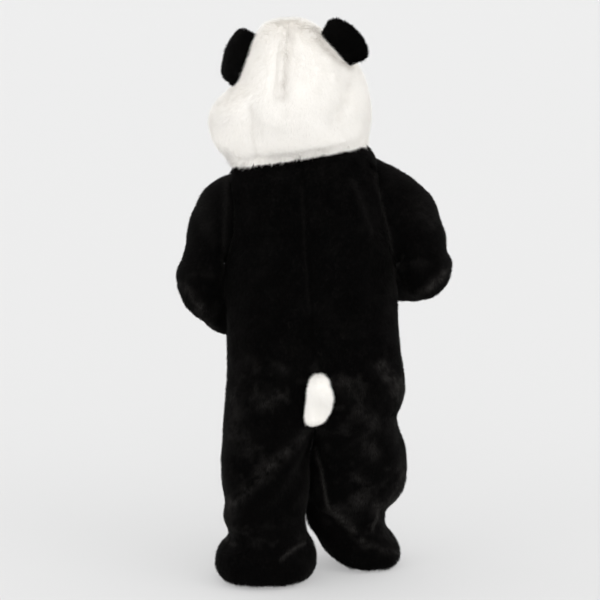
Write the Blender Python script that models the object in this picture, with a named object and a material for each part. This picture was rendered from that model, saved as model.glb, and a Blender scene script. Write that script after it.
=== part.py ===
"""A toddler's one-piece plush panda suit, worn and hollow: a hood with two padded ears, a zipped front,
two sleeves, two trouser legs and a short tail. Metres, +Z up, the front faces -Y, +X is the left side.

Each cloth piece is a wall cut from a surface that runs through rings. A ring is a rounded oval at one
height, and an angle goes round it: 90 is the middle of the back, 0 the side seam, -90 the middle of the
front and 180 the inside of a leg. Heights are measured from the floor that the hems stand on."""

import math
from collections import namedtuple

import bmesh
import bpy
from mathutils import Matrix, Vector

# Driving dimensions
SHOULDER_MIDDLE = Vector((0.012, 0.0, 0.62))  # the origin, between the shoulders, measured from the floor
PLUSH = 0.006  # knitted backing and pile together
SEAM_GAP = 0.0003
FULLNESS = 2.3  # 2 is an ellipse, and more is squarer
NECK_HEIGHT = 0.662
CROTCH_HEIGHT = 0.240
CROWN_HEIGHT = 0.862
ARMHOLE_MIDDLE = 0.568
ARMHOLE_HALF_HEIGHT = 0.075
ARMHOLE_HALF_WIDTH = 0.056
FACE_LOW = 0.674
FACE_HIGH = 0.803
FACE_HALF_WIDTH = 0.068
FACE_ASIDE = 0.018  # how far the face opening stands to the right of the middle
HOOD_TURN = 1.0  # degrees that the hood looks to the right
CROWN_NARROWING = 0.1  # where the hood is narrower than this, the face opening's shift fades out
EAR_SEAM_BACK = 12.0  # degrees that the seam through the ears stands behind the hood's sides
EAR_WIDTH = 0.085
EAR_HEIGHT = 0.043
EAR_THICKNESS = 0.024
EAR_SQUARENESS = 4.0  # 2 is a half-round outline, and more is squarer
EAR_CLEAR = 0.0025  # how much further out an ear's own rings start, to pass over the hood's folds
EAR_SPAN = 0.026  # how far up and down the hood an ear's foot takes its slant from
TAIL_TOP = 0.346
TAIL_LENGTH = 0.079
TAIL_WIDTH = 0.038
TAIL_THICKNESS = 0.026
ZIP_LOW = 0.300
ZIP_SLOT_HALF = 0.0046
ZIP_TAPE_HALF = 0.011
ZIP_TAPE_THICKNESS = 0.001
ZIP_STAND_OFF = 0.0012  # from the inside of the front to the tape
ZIP_CHAIN_HALF = 0.0025
ZIP_CHAIN_HEIGHT = 0.0025
SLIDER_HEIGHT = 0.634

FOLD_FREE_HALF = 0.03  # folds die out as the crown closes
FOLD_REACH = 0.10  # metres round a ring for each radian of a fold, about
SEAM_FADE = 0.06  # how far below the crotch the legs still bend to meet

# How finely the walls are divided
PANEL_COLUMNS = 12
HOOD_COLUMNS = 9
ROUND_STEPS = 10  # half the points round an armhole, and the rows of the face opening

Ring = namedtuple("Ring", "height left right side_y back front tilt")
Fold = namedtuple("Fold", "high high_angle low low_angle depth width")
SleeveRing = namedtuple("SleeveRing", "under_x under_y under_z over_x over_y over_z half_depth")
Ear = namedtuple("Ear", "side middle_height behind up_x up_y up_z")

# Body rings: left and right are how far the cloth reaches in x, and back and front how deep it is
# behind and before the side seam. The middle seam runs halfway between left and right.
TORSO = (
    Ring(0.662, 0.1140, -0.0800, 0.000, 0.071, 0.084, -0.16),
    Ring(0.654, 0.1195, -0.0890, 0.000, 0.084, 0.087, -0.14),
    Ring(0.634, 0.1255, -0.1015, 0.000, 0.096, 0.090, -0.10),
    Ring(0.605, 0.1300, -0.1140, 0.000, 0.104, 0.093, -0.06),
    Ring(0.560, 0.1310, -0.1220, 0.000, 0.108, 0.098, -0.03),
    Ring(0.500, 0.1320, -0.1285, 0.000, 0.108, 0.104, 0.00),
    Ring(0.440, 0.1312, -0.1315, 0.000, 0.106, 0.109, 0.00),
    Ring(0.380, 0.1300, -0.1340, 0.000, 0.109, 0.112, 0.00),
    Ring(0.335, 0.1290, -0.1410, 0.000, 0.117, 0.108, 0.00),
)
# Below the hips each side has a lobe of its own. Its inner edge crosses the middle until the crotch.
LEFT_LEG = (
    Ring(0.305, 0.1310, -0.1120, 0.002, 0.119, 0.102, 0.00),
    Ring(0.280, 0.1330, -0.0740, 0.004, 0.113, 0.095, 0.00),
    Ring(0.260, 0.1350, -0.0380, 0.006, 0.106, 0.088, 0.00),
    Ring(0.240, 0.1360, -0.0060, 0.008, 0.098, 0.081, 0.00),
    Ring(0.200, 0.1390, 0.0010, 0.010, 0.088, 0.075, 0.00),
    Ring(0.150, 0.1380, 0.0032, 0.011, 0.082, 0.071, 0.00),
    Ring(0.122, 0.1330, 0.0060, 0.010, 0.077, 0.069, 0.00),
    Ring(0.105, 0.1380, 0.0085, 0.010, 0.077, 0.069, 0.00),
    Ring(0.080, 0.1300, 0.0070, 0.008, 0.073, 0.069, 0.00),
    Ring(0.060, 0.1310, -0.0010, 0.004, 0.069, 0.071, 0.00),
    Ring(0.047, 0.1450, -0.0080, 0.000, 0.072, 0.078, 0.00),
    Ring(0.028, 0.1500, -0.0100, -0.002, 0.073, 0.082, 0.00),
    Ring(0.010, 0.1490, -0.0060, -0.004, 0.070, 0.078, 0.00),
    Ring(0.000, 0.1400, 0.0040, -0.005, 0.062, 0.069, 0.00),
)
RIGHT_LEG = (
    Ring(0.305, 0.1020, -0.1450, -0.002, 0.118, 0.102, 0.00),
    Ring(0.280, 0.0600, -0.1410, -0.005, 0.112, 0.096, 0.00),
    Ring(0.260, 0.0260, -0.1350, -0.009, 0.104, 0.090, 0.00),
    Ring(0.240, -0.0060, -0.1370, -0.013, 0.096, 0.085, 0.00),
    Ring(0.190, -0.0010, -0.1500, -0.026, 0.085, 0.080, 0.00),
    Ring(0.166, 0.0020, -0.1510, -0.037, 0.080, 0.078, 0.00),
    Ring(0.125, 0.0080, -0.1450, -0.053, 0.075, 0.073, 0.02),
    Ring(0.093, 0.0100, -0.1180, -0.066, 0.070, 0.069, 0.05),
    Ring(0.065, 0.0050, -0.1190, -0.074, 0.064, 0.068, 0.08),
    Ring(0.044, -0.0050, -0.1360, -0.078, 0.063, 0.068, 0.10),
    Ring(0.024, -0.0150, -0.1450, -0.081, 0.063, 0.070, 0.11),
    Ring(0.008, -0.0250, -0.1430, -0.083, 0.061, 0.068, 0.11),
    Ring(0.000, -0.0380, -0.1350, -0.084, 0.054, 0.061, 0.11),
)
HOOD = (
    Ring(0.662, 0.1140, -0.0800, 0.000, 0.071, 0.084, -0.16),
    Ring(0.668, 0.1240, -0.0835, 0.000, 0.085, 0.087, -0.16),
    Ring(0.678, 0.1345, -0.0865, 0.000, 0.101, 0.092, -0.15),
    Ring(0.696, 0.1460, -0.0890, 0.000, 0.112, 0.099, -0.15),
    Ring(0.720, 0.1545, -0.0885, -0.002, 0.116, 0.105, -0.14),
    Ring(0.740, 0.1535, -0.0840, -0.003, 0.116, 0.108, -0.14),
    Ring(0.754, 0.1460, -0.0800, -0.004, 0.113, 0.108, -0.14),
    Ring(0.768, 0.1155, -0.0750, -0.004, 0.108, 0.105, -0.14),
    Ring(0.788, 0.1060, -0.0640, -0.003, 0.098, 0.099, -0.13),
    Ring(0.812, 0.0970, -0.0450, -0.004, 0.083, 0.088, -0.12),
    Ring(0.832, 0.0885, -0.0240, -0.006, 0.066, 0.072, -0.10),
    Ring(0.847, 0.0785, -0.0060, -0.008, 0.048, 0.055, -0.07),
    Ring(0.857, 0.0660, 0.0090, -0.008, 0.028, 0.035, -0.04),
    Ring(0.862, 0.0350, 0.0350, -0.008, 0.000, 0.000, 0.00),
)

# Folds: a ridge where depth is above 0 and a trough where it is below, from a high end to a low end
LEFT_FOLDS = (
    Fold(0.226, 132, 0.118, 56, 0.008, 0.020),
    Fold(0.196, 150, 0.078, 66, -0.009, 0.022),
    Fold(0.062, 10, 0.060, 150, -0.006, 0.014),
    Fold(0.230, -150, 0.120, -60, 0.006, 0.020),
    Fold(0.110, -160, 0.078, -30, -0.006, 0.016),
    Fold(0.440, 62, 0.330, 40, 0.003, 0.022),
    Fold(0.600, 60, 0.480, 74, 0.003, 0.022),
)
RIGHT_FOLDS = (
    Fold(0.215, 172, 0.110, 166, 0.005, 0.016),
    Fold(0.116, 176, 0.060, 70, -0.008, 0.018),
    Fold(0.150, 140, 0.096, 56, 0.006, 0.020),
    Fold(0.262, 60, 0.246, 4, -0.005, 0.015),
    Fold(0.300, 44, 0.200, 54, 0.005, 0.022),
    Fold(0.210, -150, 0.120, -70, 0.006, 0.020),
    Fold(0.090, -160, 0.070, -40, -0.005, 0.015),
    Fold(0.600, 52, 0.500, 66, 0.004, 0.020),
    Fold(0.430, 40, 0.340, 58, 0.003, 0.022),
)
HOOD_LEFT_FOLDS = (
    Fold(0.840, 91, 0.716, 91, -0.005, 0.012),
    Fold(0.742, 66, 0.668, 58, -0.005, 0.012),
    Fold(0.690, 44, 0.668, 22, -0.006, 0.013),
    Fold(0.748, 40, 0.704, 20, 0.004, 0.016),
)
HOOD_RIGHT_FOLDS = (
    Fold(0.840, 89, 0.716, 89, -0.005, 0.012),
    Fold(0.780, 38, 0.712, 60, -0.005, 0.013),
    Fold(0.724, 44, 0.692, 20, 0.004, 0.016),
    Fold(0.735, -48, 0.700, -44, 0.014, 0.036),
)

# Sleeve rings, from the shoulder to the cuff: the point next to the body, the point away from it, and
# half the width between the front and the back
LEFT_SLEEVE = (
    SleeveRing(0.1360, 0.000, 0.495, 0.1580, 0.000, 0.612, 0.056),
    SleeveRing(0.1350, 0.003, 0.485, 0.1790, 0.004, 0.573, 0.052),
    SleeveRing(0.1342, 0.008, 0.468, 0.1900, 0.010, 0.534, 0.048),
    SleeveRing(0.1338, 0.009, 0.454, 0.2000, 0.016, 0.492, 0.044),
    SleeveRing(0.1335, 0.000, 0.442, 0.2010, 0.010, 0.460, 0.039),
    SleeveRing(0.1300, -0.035, 0.426, 0.1830, -0.030, 0.432, 0.037),
    SleeveRing(0.1180, -0.074, 0.408, 0.1670, -0.069, 0.408, 0.036),
    SleeveRing(0.1000, -0.113, 0.393, 0.1500, -0.105, 0.388, 0.034),
)
RIGHT_SLEEVE = (
    SleeveRing(-0.1350, 0.000, 0.498, -0.1520, 0.000, 0.626, 0.056),
    SleeveRing(-0.1345, 0.002, 0.489, -0.1830, 0.003, 0.594, 0.052),
    SleeveRing(-0.1340, 0.006, 0.480, -0.1990, 0.008, 0.556, 0.048),
    SleeveRing(-0.1345, 0.007, 0.471, -0.2070, 0.012, 0.518, 0.045),
    SleeveRing(-0.1350, -0.003, 0.464, -0.2130, 0.006, 0.490, 0.039),
    SleeveRing(-0.1335, -0.043, 0.459, -0.1930, -0.035, 0.469, 0.037),
    SleeveRing(-0.1270, -0.083, 0.452, -0.1800, -0.076, 0.457, 0.035),
    SleeveRing(-0.1150, -0.121, 0.446, -0.1660, -0.113, 0.446, 0.033),
)
# Crosswise wrinkles of a sleeve: how far along it they lie, the angle of the deepest point, and the depth
SleeveFold = namedtuple("SleeveFold", "along angle depth width")
LEFT_SLEEVE_FOLDS = (
    SleeveFold(0.34, 200, -0.006, 0.045),
    SleeveFold(0.50, 180, 0.004, 0.050),
    SleeveFold(0.72, 120, -0.007, 0.040),
    SleeveFold(0.62, 300, -0.006, 0.040),
)
RIGHT_SLEEVE_FOLDS = (
    SleeveFold(0.26, 190, -0.006, 0.040),
    SleeveFold(0.44, 170, -0.005, 0.040),
    SleeveFold(0.70, 110, -0.005, 0.045),
    SleeveFold(0.60, 300, -0.006, 0.040),
)

# Ears: how many degrees each stands behind the seam over the crown, and the way it points
EARS = (
    Ear("left", 0.8078, 0, 0.71, -0.64, 0.30),
    Ear("right", 0.8090, 8, -0.68, 0.49, 0.56),
)

FUR_BLACK = (0.012, 0.011, 0.011, 1.0)
FUR_WHITE = (0.86, 0.84, 0.80, 1.0)
TAPE_BLACK = (0.02, 0.02, 0.02, 1.0)
NICKEL = (0.55, 0.55, 0.56, 1.0)


def clear_scene():
    for obj in list(bpy.data.objects):
        bpy.data.objects.remove(obj, do_unlink=True)


def material(name, colour, roughness, metallic=0.0):
    made = bpy.data.materials.new(name)
    made.use_nodes = True
    shader = made.node_tree.nodes["Principled BSDF"]
    shader.inputs["Base Color"].default_value = colour
    shader.inputs["Roughness"].default_value = roughness
    shader.inputs["Metallic"].default_value = metallic
    return made


def smooth_between(rows, key, height):
    """The value of one column at a height, on a curve through the rows that never overshoots them."""
    rows = sorted(rows, key=lambda row: row.height)
    heights = [row.height for row in rows]
    values = [getattr(row, key) for row in rows]
    if height <= heights[0]:
        return values[0]
    if height >= heights[-1]:
        return values[-1]
    i = max(k for k in range(len(rows) - 1) if heights[k] <= height)
    step = heights[i + 1] - heights[i]
    rise = (values[i + 1] - values[i]) / step

    def slope(k):
        if k == 0 or k == len(rows) - 1:
            return rise
        before = (values[k] - values[k - 1]) / (heights[k] - heights[k - 1])
        after = (values[k + 1] - values[k]) / (heights[k + 1] - heights[k])
        return 0.0 if before * after <= 0 else 2 * before * after / (before + after)

    t = (height - heights[i]) / step
    h00 = 2 * t**3 - 3 * t**2 + 1
    h10 = t**3 - 2 * t**2 + t
    h01 = -2 * t**3 + 3 * t**2
    h11 = t**3 - t**2
    return h00 * values[i] + h10 * step * slope(i) + h01 * values[i + 1] + h11 * step * slope(i + 1)


def power(value, exponent):
    return math.copysign(abs(value) ** exponent, value)


class Cloth:
    """The outer face of the cloth on one side of the garment, as a function of height and angle. Its other side
    is a second Cloth, and both bend to meet where their middle seams run."""

    def __init__(self, side, rings, folds, seams):
        self.side = side  # 1 on the left, -1 on the right
        self.rings = rings
        self.folds = folds
        self.seams = seams  # gives the angle of the back's middle seam and of the front's at a height
        self.other = None
        self.known_rings = {}
        self.known_shifts = {}

    def ring(self, height):
        if height not in self.known_rings:
            values = [smooth_between(self.rings, key, height) for key in Ring._fields[1:]]
            self.known_rings[height] = Ring(height, *values)
        return self.known_rings[height]

    def fold_depth(self, height, angle):
        total = 0.0
        for fold in self.folds:
            across = math.radians(fold.low_angle - fold.high_angle) * FOLD_REACH
            down = fold.low - fold.high
            to_z = height - fold.high
            away = math.inf
            for round_again in (-1, 0, 1):
                to_x = (angle + round_again * 2 * math.pi - math.radians(fold.high_angle)) * FOLD_REACH
                along = min(1.0, max(0.0, (to_x * across + to_z * down) / (across**2 + down**2)))
                away = min(away, math.hypot(to_x - along * across, to_z - along * down))
            total += fold.depth * math.exp(-((away / fold.width) ** 2))
        return total

    def own_point(self, height, angle):
        ring = self.ring(height)
        middle = (ring.left + ring.right) / 2
        half = (ring.left - ring.right) / 2
        swell = self.fold_depth(height, angle) * min(1.0, half / FOLD_FREE_HALF)
        across = power(math.cos(angle), 2 / FULLNESS)
        back = power(math.sin(angle), 2 / FULLNESS)
        x = middle + self.side * (half + swell) * across
        deep = ring.back if back > 0 else ring.front
        y = ring.side_y + (deep + swell) * back
        return Vector((x, y, height + ring.tilt * (x - middle)))

    def shift(self, height, behind):
        """Half the way from this side's middle seam to the other's, which fades out below the crotch."""
        if (height, behind) not in self.known_shifts:
            at = max(height, CROTCH_HEIGHT)
            fade = 1.0 - min(1.0, (at - height) / SEAM_FADE)
            which = 0 if behind else 1
            mine = self.own_point(at, self.seams(self, at)[which])
            theirs = self.other.own_point(at, self.other.seams(self.other, at)[which])
            self.known_shifts[height, behind] = (theirs - mine) / 2 * fade**2 * (3 - 2 * fade)
        return self.known_shifts[height, behind]

    def point(self, height, angle):
        behind = math.sin(angle) >= 0
        seam = abs(self.seams(self, height)[0 if behind else 1])
        share = abs(angle) / seam
        if share > 1:
            share = max(0.0, 2 - share)
        weight = share * share * (3 - 2 * share)
        return self.own_point(height, angle) + self.shift(height, behind) * weight

    def normal(self, height, angle):
        step, turn = 0.002, 0.03
        up = self.point(height + step, angle) - self.point(height - step, angle)
        round_it = self.point(height, angle + turn) - self.point(height, angle - turn)
        out = round_it.cross(up) * self.side
        if out.length < 1e-10:
            return Vector((0, 0, 1))
        return out.normalized()

    def pair(self, height, angle):
        """The point on the outer face and the one behind it on the inner face."""
        outer = self.point(height, angle)
        return outer, outer - PLUSH * self.normal(height, angle)

    def angle_at_x(self, height, x, front=False):
        """The angle where the ring crosses a plane of constant x."""
        ring = self.ring(height)
        middle = (ring.left + ring.right) / 2
        half = (ring.left - ring.right) / 2
        if half < 1e-9:
            return -math.pi / 2 if front else math.pi / 2
        share = min(1.0, max(-1.0, self.side * (x - middle) / half))
        angle = math.acos(power(share, FULLNESS / 2))
        return -angle if front else angle


def two_sides(left, right):
    left.other, right.other = right, left
    return left, right


def spaced(low, high, most_step):
    count = max(1, math.ceil((high - low) / most_step))
    return [low + (high - low) * k / count for k in range(count)]


def round_rows(middle, half):
    """Heights that are evenly spaced round an oval opening, with both of its ends."""
    return [middle - half * math.cos(math.pi * k / ROUND_STEPS) for k in range(ROUND_STEPS + 1)]


def body_heights():
    low = ARMHOLE_MIDDLE - ARMHOLE_HALF_HEIGHT
    return (
        spaced(0.0, 0.06, 0.012)
        + spaced(0.06, CROTCH_HEIGHT, 0.014)
        + spaced(CROTCH_HEIGHT, ZIP_LOW, 0.0125)
        + spaced(ZIP_LOW, low, 0.028)
        + round_rows(ARMHOLE_MIDDLE, ARMHOLE_HALF_HEIGHT)
        + [0.649, 0.656, NECK_HEIGHT]
    )


def hood_heights():
    middle = (FACE_LOW + FACE_HIGH) / 2
    crown = [0.817, 0.829, 0.841, 0.850, 0.857, CROWN_HEIGHT]
    return [NECK_HEIGHT, 0.668] + round_rows(middle, FACE_HIGH - middle) + crown


def body_middle(height):
    """x of the middle seam."""
    torso_low = TORSO[-1].height
    at = max(height, torso_low)
    return (smooth_between(TORSO, "left", at) + smooth_between(TORSO, "right", at)) / 2


def body_seams(cloth, height):
    """The angles of the back's middle seam and of the front's, or the inseam for both below the crotch."""
    if height <= CROTCH_HEIGHT:
        return math.pi, -math.pi
    x = body_middle(height)
    return cloth.angle_at_x(height, x), cloth.angle_at_x(height, x, front=True)


def hood_turned(height):
    """How much of its turn the hood has at a height, from none at the neck to 1."""
    return min(1.0, max(0.0, (height - NECK_HEIGHT) / 0.05))


def hood_seams(cloth, height):
    ring = cloth.ring(height)
    narrowing = min(1.0, (ring.left - ring.right) / CROWN_NARROWING)
    face_middle = (ring.left + ring.right) / 2 - FACE_ASIDE * hood_turned(height) * narrowing
    back = math.pi / 2 + math.radians(cloth.side * HOOD_TURN * hood_turned(height))
    return back, cloth.angle_at_x(height, face_middle, front=True)


def cross_seam(cloth, height):
    """The angle of the seam that goes over the crown from one side of the neck to the other."""
    return math.radians((EAR_SEAM_BACK - cloth.side * HOOD_TURN) * hood_turned(height))


def oval_half_width(height, middle, half_height, half_width):
    share = (height - middle) / half_height
    return half_width * math.sqrt(max(0.0, 1.0 - share * share))


def armhole_angle(cloth, height):
    """How far round from the side seam the armhole reaches at a height."""
    half = oval_half_width(height, ARMHOLE_MIDDLE, ARMHOLE_HALF_HEIGHT, ARMHOLE_HALF_WIDTH)
    if half < 1e-9:
        return 0.0
    ring = cloth.ring(height)
    return math.asin((half / ((ring.back + ring.front) / 2)) ** (FULLNESS / 2))


def solid_from(name, rows, tint, closed=False):
    """A closed wall from rows of (outer, inner) points. Points in the same place are one, so that a row may
    shrink to a point and two stretches may join, and None parts a row in two."""
    mesh = bmesh.new()
    places = {}
    key_of = {}

    def corner(pair):
        key = tuple(round(c, 6) for c in pair[0])
        if key not in places:
            places[key] = (mesh.verts.new(pair[0]), mesh.verts.new(pair[1]))
            key_of[places[key][0]] = (key[2], key[0], key[1])
        return places[key]

    borders = {}

    def patch(corners):
        kept = [c for k, c in enumerate(corners) if c is not corners[k - 1]]
        if len(kept) < 3:
            return
        mesh.faces.new([outer for outer, _ in kept])
        mesh.faces.new([inner for _, inner in reversed(kept)])
        for k, start in enumerate(kept):
            end = kept[(k + 1) % len(kept)]
            back_way = (end[0].index, start[0].index)
            if back_way in borders:
                del borders[back_way]
            else:
                borders[(start[0].index, end[0].index)] = (start, end)

    grid = [[pair and corner(pair) for pair in row] for row in rows]
    mesh.verts.index_update()
    for low, high in zip(grid, grid[1:]):
        if closed:
            low, high = low + low[:1], high + high[:1]
        for k in range(len(low) - 1):
            quad = [low[k], low[k + 1], high[k + 1], high[k]]
            if all(quad):
                patch(quad)
    for start, end in borders.values():
        # Pieces that meet at a seam split its edge the same way, so that the gap between them is even.
        if key_of[start[0]] < key_of[end[0]]:
            mesh.faces.new([end[0], start[0], end[1]])
            mesh.faces.new([start[0], start[1], end[1]])
        else:
            mesh.faces.new([end[0], start[0], start[1]])
            mesh.faces.new([end[0], start[1], end[1]])
    return finish_solid(name, mesh, tint)


def finish_solid(name, mesh, tint):
    bmesh.ops.recalc_face_normals(mesh, faces=mesh.faces)
    if mesh.calc_volume(signed=True) < 0:
        bmesh.ops.reverse_faces(mesh, faces=mesh.faces)
    data = bpy.data.meshes.new(name)
    mesh.to_mesh(data)
    mesh.free()
    data.materials.append(tint)
    data.shade_smooth()
    data.set_sharp_from_angle(angle=math.radians(50))
    obj = bpy.data.objects.new(name, data)
    bpy.context.scene.collection.objects.link(obj)
    return obj


def place(obj, worn, away=(0, 0, 0)):
    """Hangs a piece on the figure, moved half a seam's gap away from its neighbours."""
    obj.parent = worn
    obj.location = Vector(away) * SEAM_GAP / 2
    return obj


def back_panel(cloth, name, tint):
    """Half of the back with the back of its leg, from the middle seam and the inseam to the side seam."""
    rows = []
    for height in body_heights():
        start, end = body_seams(cloth, height)[0], armhole_angle(cloth, height)
        shares = [k / PANEL_COLUMNS for k in range(PANEL_COLUMNS + 1)]
        rows.append([cloth.pair(height, start + (end - start) * share) for share in shares])
    return solid_from(name, rows, tint)


def zip_slot(height):
    """Half the width of the slot that the front panels leave for the zip."""
    return ZIP_SLOT_HALF * min(1.0, max(0.0, (height - ZIP_LOW + 0.012) / 0.012))


def front_panel(cloth, name, tint):
    """Half of the front with the front of its leg, from the side seam to the zip and the inseam."""
    rows = []
    for height in body_heights():
        end = -math.pi
        if height > CROTCH_HEIGHT:
            edge = body_middle(height) + cloth.side * zip_slot(height)
            end = cloth.angle_at_x(height, edge, front=True)
        start = -armhole_angle(cloth, height)
        shares = [k / PANEL_COLUMNS for k in range(PANEL_COLUMNS + 1)]
        rows.append([cloth.pair(height, start + (end - start) * share) for share in shares])
    return solid_from(name, rows, tint)


def hood_back(cloth, name, tint):
    rows = []
    for height in hood_heights():
        start, end = hood_seams(cloth, height)[0], cross_seam(cloth, height)
        shares = [k / HOOD_COLUMNS for k in range(HOOD_COLUMNS + 1)]
        rows.append([cloth.pair(height, start + (end - start) * share) for share in shares])
    return solid_from(name, rows, tint)


def aside(cloth, height, half):
    """The angle between the middle of the face and the edge of its opening."""
    ring = cloth.ring(height)
    return half / ((ring.left - ring.right) / 2) if half > 0 else 0.0


def hood_front(left, right, name, tint):
    """The hood before the ears: a band round the face, whole above the forehead and open below the chin."""
    middle = (FACE_LOW + FACE_HIGH) / 2
    rows = []
    for height in hood_heights():
        half = oval_half_width(height, middle, FACE_HIGH - middle, FACE_HALF_WIDTH)
        if height < middle:
            half = max(half, ZIP_SLOT_HALF)
        end_left = hood_seams(left, height)[1] + aside(left, height, half)
        end_right = hood_seams(right, height)[1] + aside(right, height, half)
        start_left, start_right = cross_seam(left, height), cross_seam(right, height)
        shares = [k / HOOD_COLUMNS for k in range(HOOD_COLUMNS + 1)]
        row = [left.pair(height, start_left + (end_left - start_left) * share) for share in shares]
        row.append(None)
        row += [right.pair(height, end_right + (start_right - end_right) * share) for share in shares]
        rows.append(row)
    return solid_from(name, rows, tint)


def spline_point(points, position):
    """A point on the smooth curve through a list of vectors, where 0 is the first and 1 the last."""
    position = min(0.999999, max(0.0, position)) * (len(points) - 1)
    k = int(position)
    t = position - k
    p1, p2 = points[k], points[k + 1]
    p0 = points[k - 1] if k > 0 else p1 * 2 - p2
    p3 = points[k + 2] if k + 2 < len(points) else p2 * 2 - p1
    square = p0 * 2 - p1 * 5 + p2 * 4 - p3
    cube = p1 * 3 - p0 - p2 * 3 + p3
    return (p1 * 2 + (p2 - p0) * t + square * t**2 + cube * t**3) / 2


def sleeve(cloth, stations, folds, name, tint):
    """A tube from the armhole's edge to the cuff. The angle goes from the underarm by the back to the top."""
    steps = 2 * ROUND_STEPS
    rings_along = 16
    under = [Vector((s.under_x, s.under_y, s.under_z)) for s in stations]
    over = [Vector((s.over_x, s.over_y, s.over_z)) for s in stations]
    deep = [Vector((s.half_depth, 0, 0)) for s in stations]
    heights = round_rows(ARMHOLE_MIDDLE, ARMHOLE_HALF_HEIGHT)
    first_ring = []
    for k in range(steps):
        height = heights[k if k <= ROUND_STEPS else steps - k]
        angle = armhole_angle(cloth, height) * (1 if k <= ROUND_STEPS else -1)
        first_ring.append(cloth.pair(height, angle))
    hole_middle = sum((outer for outer, _ in first_ring), Vector()) / steps

    def ring_point(along, k):
        low, high = spline_point(under, along), spline_point(over, along)
        ahead = spline_point(under, along + 0.01) + spline_point(over, along + 0.01)
        behind = spline_point(under, along - 0.01) + spline_point(over, along - 0.01)
        if along < 0.011:
            behind = low + high
        backward = (high - low).cross(ahead - behind).normalized() * cloth.side
        turn = 2 * math.pi * k / steps
        swell = 0.0
        for fold in folds:
            aside = math.cos(turn - math.radians(fold.angle))
            swell += fold.depth * max(0.0, aside) * math.exp(-(((along - fold.along) / fold.width) ** 2))
        middle = (low + high) / 2
        reach = (high - low) / 2
        reach = reach * (1 + swell / reach.length)
        depth = spline_point(deep, along).x + swell
        return middle - reach * math.cos(turn) + backward * depth * math.sin(turn)

    def pair_at(along, k):
        outer = ring_point(along, k)
        round_it = ring_point(along, k + 0.5) - ring_point(along, k - 0.5)
        onward = ring_point(min(1.0, along + 0.02), k) - ring_point(max(0.0, along - 0.02), k)
        out = round_it.cross(onward).normalized()
        centre = (spline_point(under, along) + spline_point(over, along)) / 2
        if out.dot(outer - centre) < 0:
            out = -out
        return outer, outer - PLUSH * out

    def mitred(outer, inner):
        # The sleeve's edge lies in the hole, and its wall turns from the body's into its own.
        inward = hole_middle - outer
        inward.x = 0
        inward.normalize()
        edge = outer + inward * SEAM_GAP
        return edge, edge + PLUSH * (inward + (inner - outer).normalized()).normalized()

    rows = [[mitred(outer, inner) for outer, inner in first_ring]]
    for r in range(rings_along + 1):
        rows.append([pair_at(r / rings_along, k) for k in range(steps)])
    return solid_from(name, rows, tint, closed=True)


def loft(name, rings, tint):
    """A solid through closed rings of points, with a flat cap at each end."""
    mesh = bmesh.new()
    loops = [[mesh.verts.new(p) for p in ring] for ring in rings]
    for low, high in zip(loops, loops[1:]):
        for k in range(len(low)):
            n = (k + 1) % len(low)
            mesh.faces.new([low[k], low[n], high[n], high[k]])
    mesh.faces.new(list(reversed(loops[0])))
    mesh.faces.new(loops[-1])
    return finish_solid(name, mesh, tint)


def ear(cloth, shape, name, tint):
    """A stuffed half-round pad that rises from a foot made of the hood's own points, moved out."""
    steps = 20
    mesh = bmesh.new()
    up = Vector((shape.up_x, shape.up_y, shape.up_z)).normalized()
    seam = cross_seam(cloth, shape.middle_height) + math.radians(shape.behind)
    foot_middle = cloth.point(shape.middle_height, seam)
    top = cloth.point(shape.middle_height + EAR_SPAN, seam)
    bottom = cloth.point(shape.middle_height - EAR_SPAN, seam)
    along = (top - bottom).normalized()
    across = along.cross(up).normalized() * -cloth.side
    if across.y < 0:
        across = -across
    height_scale = along.z
    ring_now = cloth.ring(shape.middle_height)
    reach = (ring_now.left - ring_now.right) / 2

    def foot(turn, share):
        height = shape.middle_height + 0.40 * EAR_WIDTH * math.cos(turn) * height_scale
        angle = seam + share * 0.40 * EAR_THICKNESS * math.sin(turn) / reach
        return cloth.point(height, angle) + cloth.normal(height, angle) * 2 * SEAM_GAP

    def body(turn, rise):
        wide = EAR_WIDTH / 2 * math.sqrt(max(0.0, 1 - (max(0.0, rise - 0.12) / 0.88) ** EAR_SQUARENESS))
        thick = EAR_THICKNESS / 2 * math.sqrt(max(0.0, 1 - rise**2.6))
        middle = foot_middle + up * (EAR_CLEAR + EAR_HEIGHT * rise)
        return middle + along * wide * math.cos(turn) + across * thick * math.sin(turn)

    turns = [2 * math.pi * k / steps for k in range(steps)]
    centre_line = [[foot(turn, share) for turn in turns] for share in (0.0, 0.5, 1.0)]
    rises = (0.28, 0.45, 0.62, 0.80, 0.92, 0.985)
    rings = centre_line + [[body(turn, rise) for turn in turns] for rise in rises]
    loops = [[mesh.verts.new(p) for p in ring] for ring in rings]
    for low, high in zip(loops, loops[1:]):
        for k in range(steps):
            n = (k + 1) % steps
            mesh.faces.new([low[k], low[n], high[n], high[k]])
    mesh.faces.new(loops[-1])
    bmesh.ops.remove_doubles(mesh, verts=mesh.verts, dist=1e-6)
    bmesh.ops.dissolve_degenerate(mesh, edges=mesh.edges, dist=1e-7)
    return finish_solid(name, mesh, tint)


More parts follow.
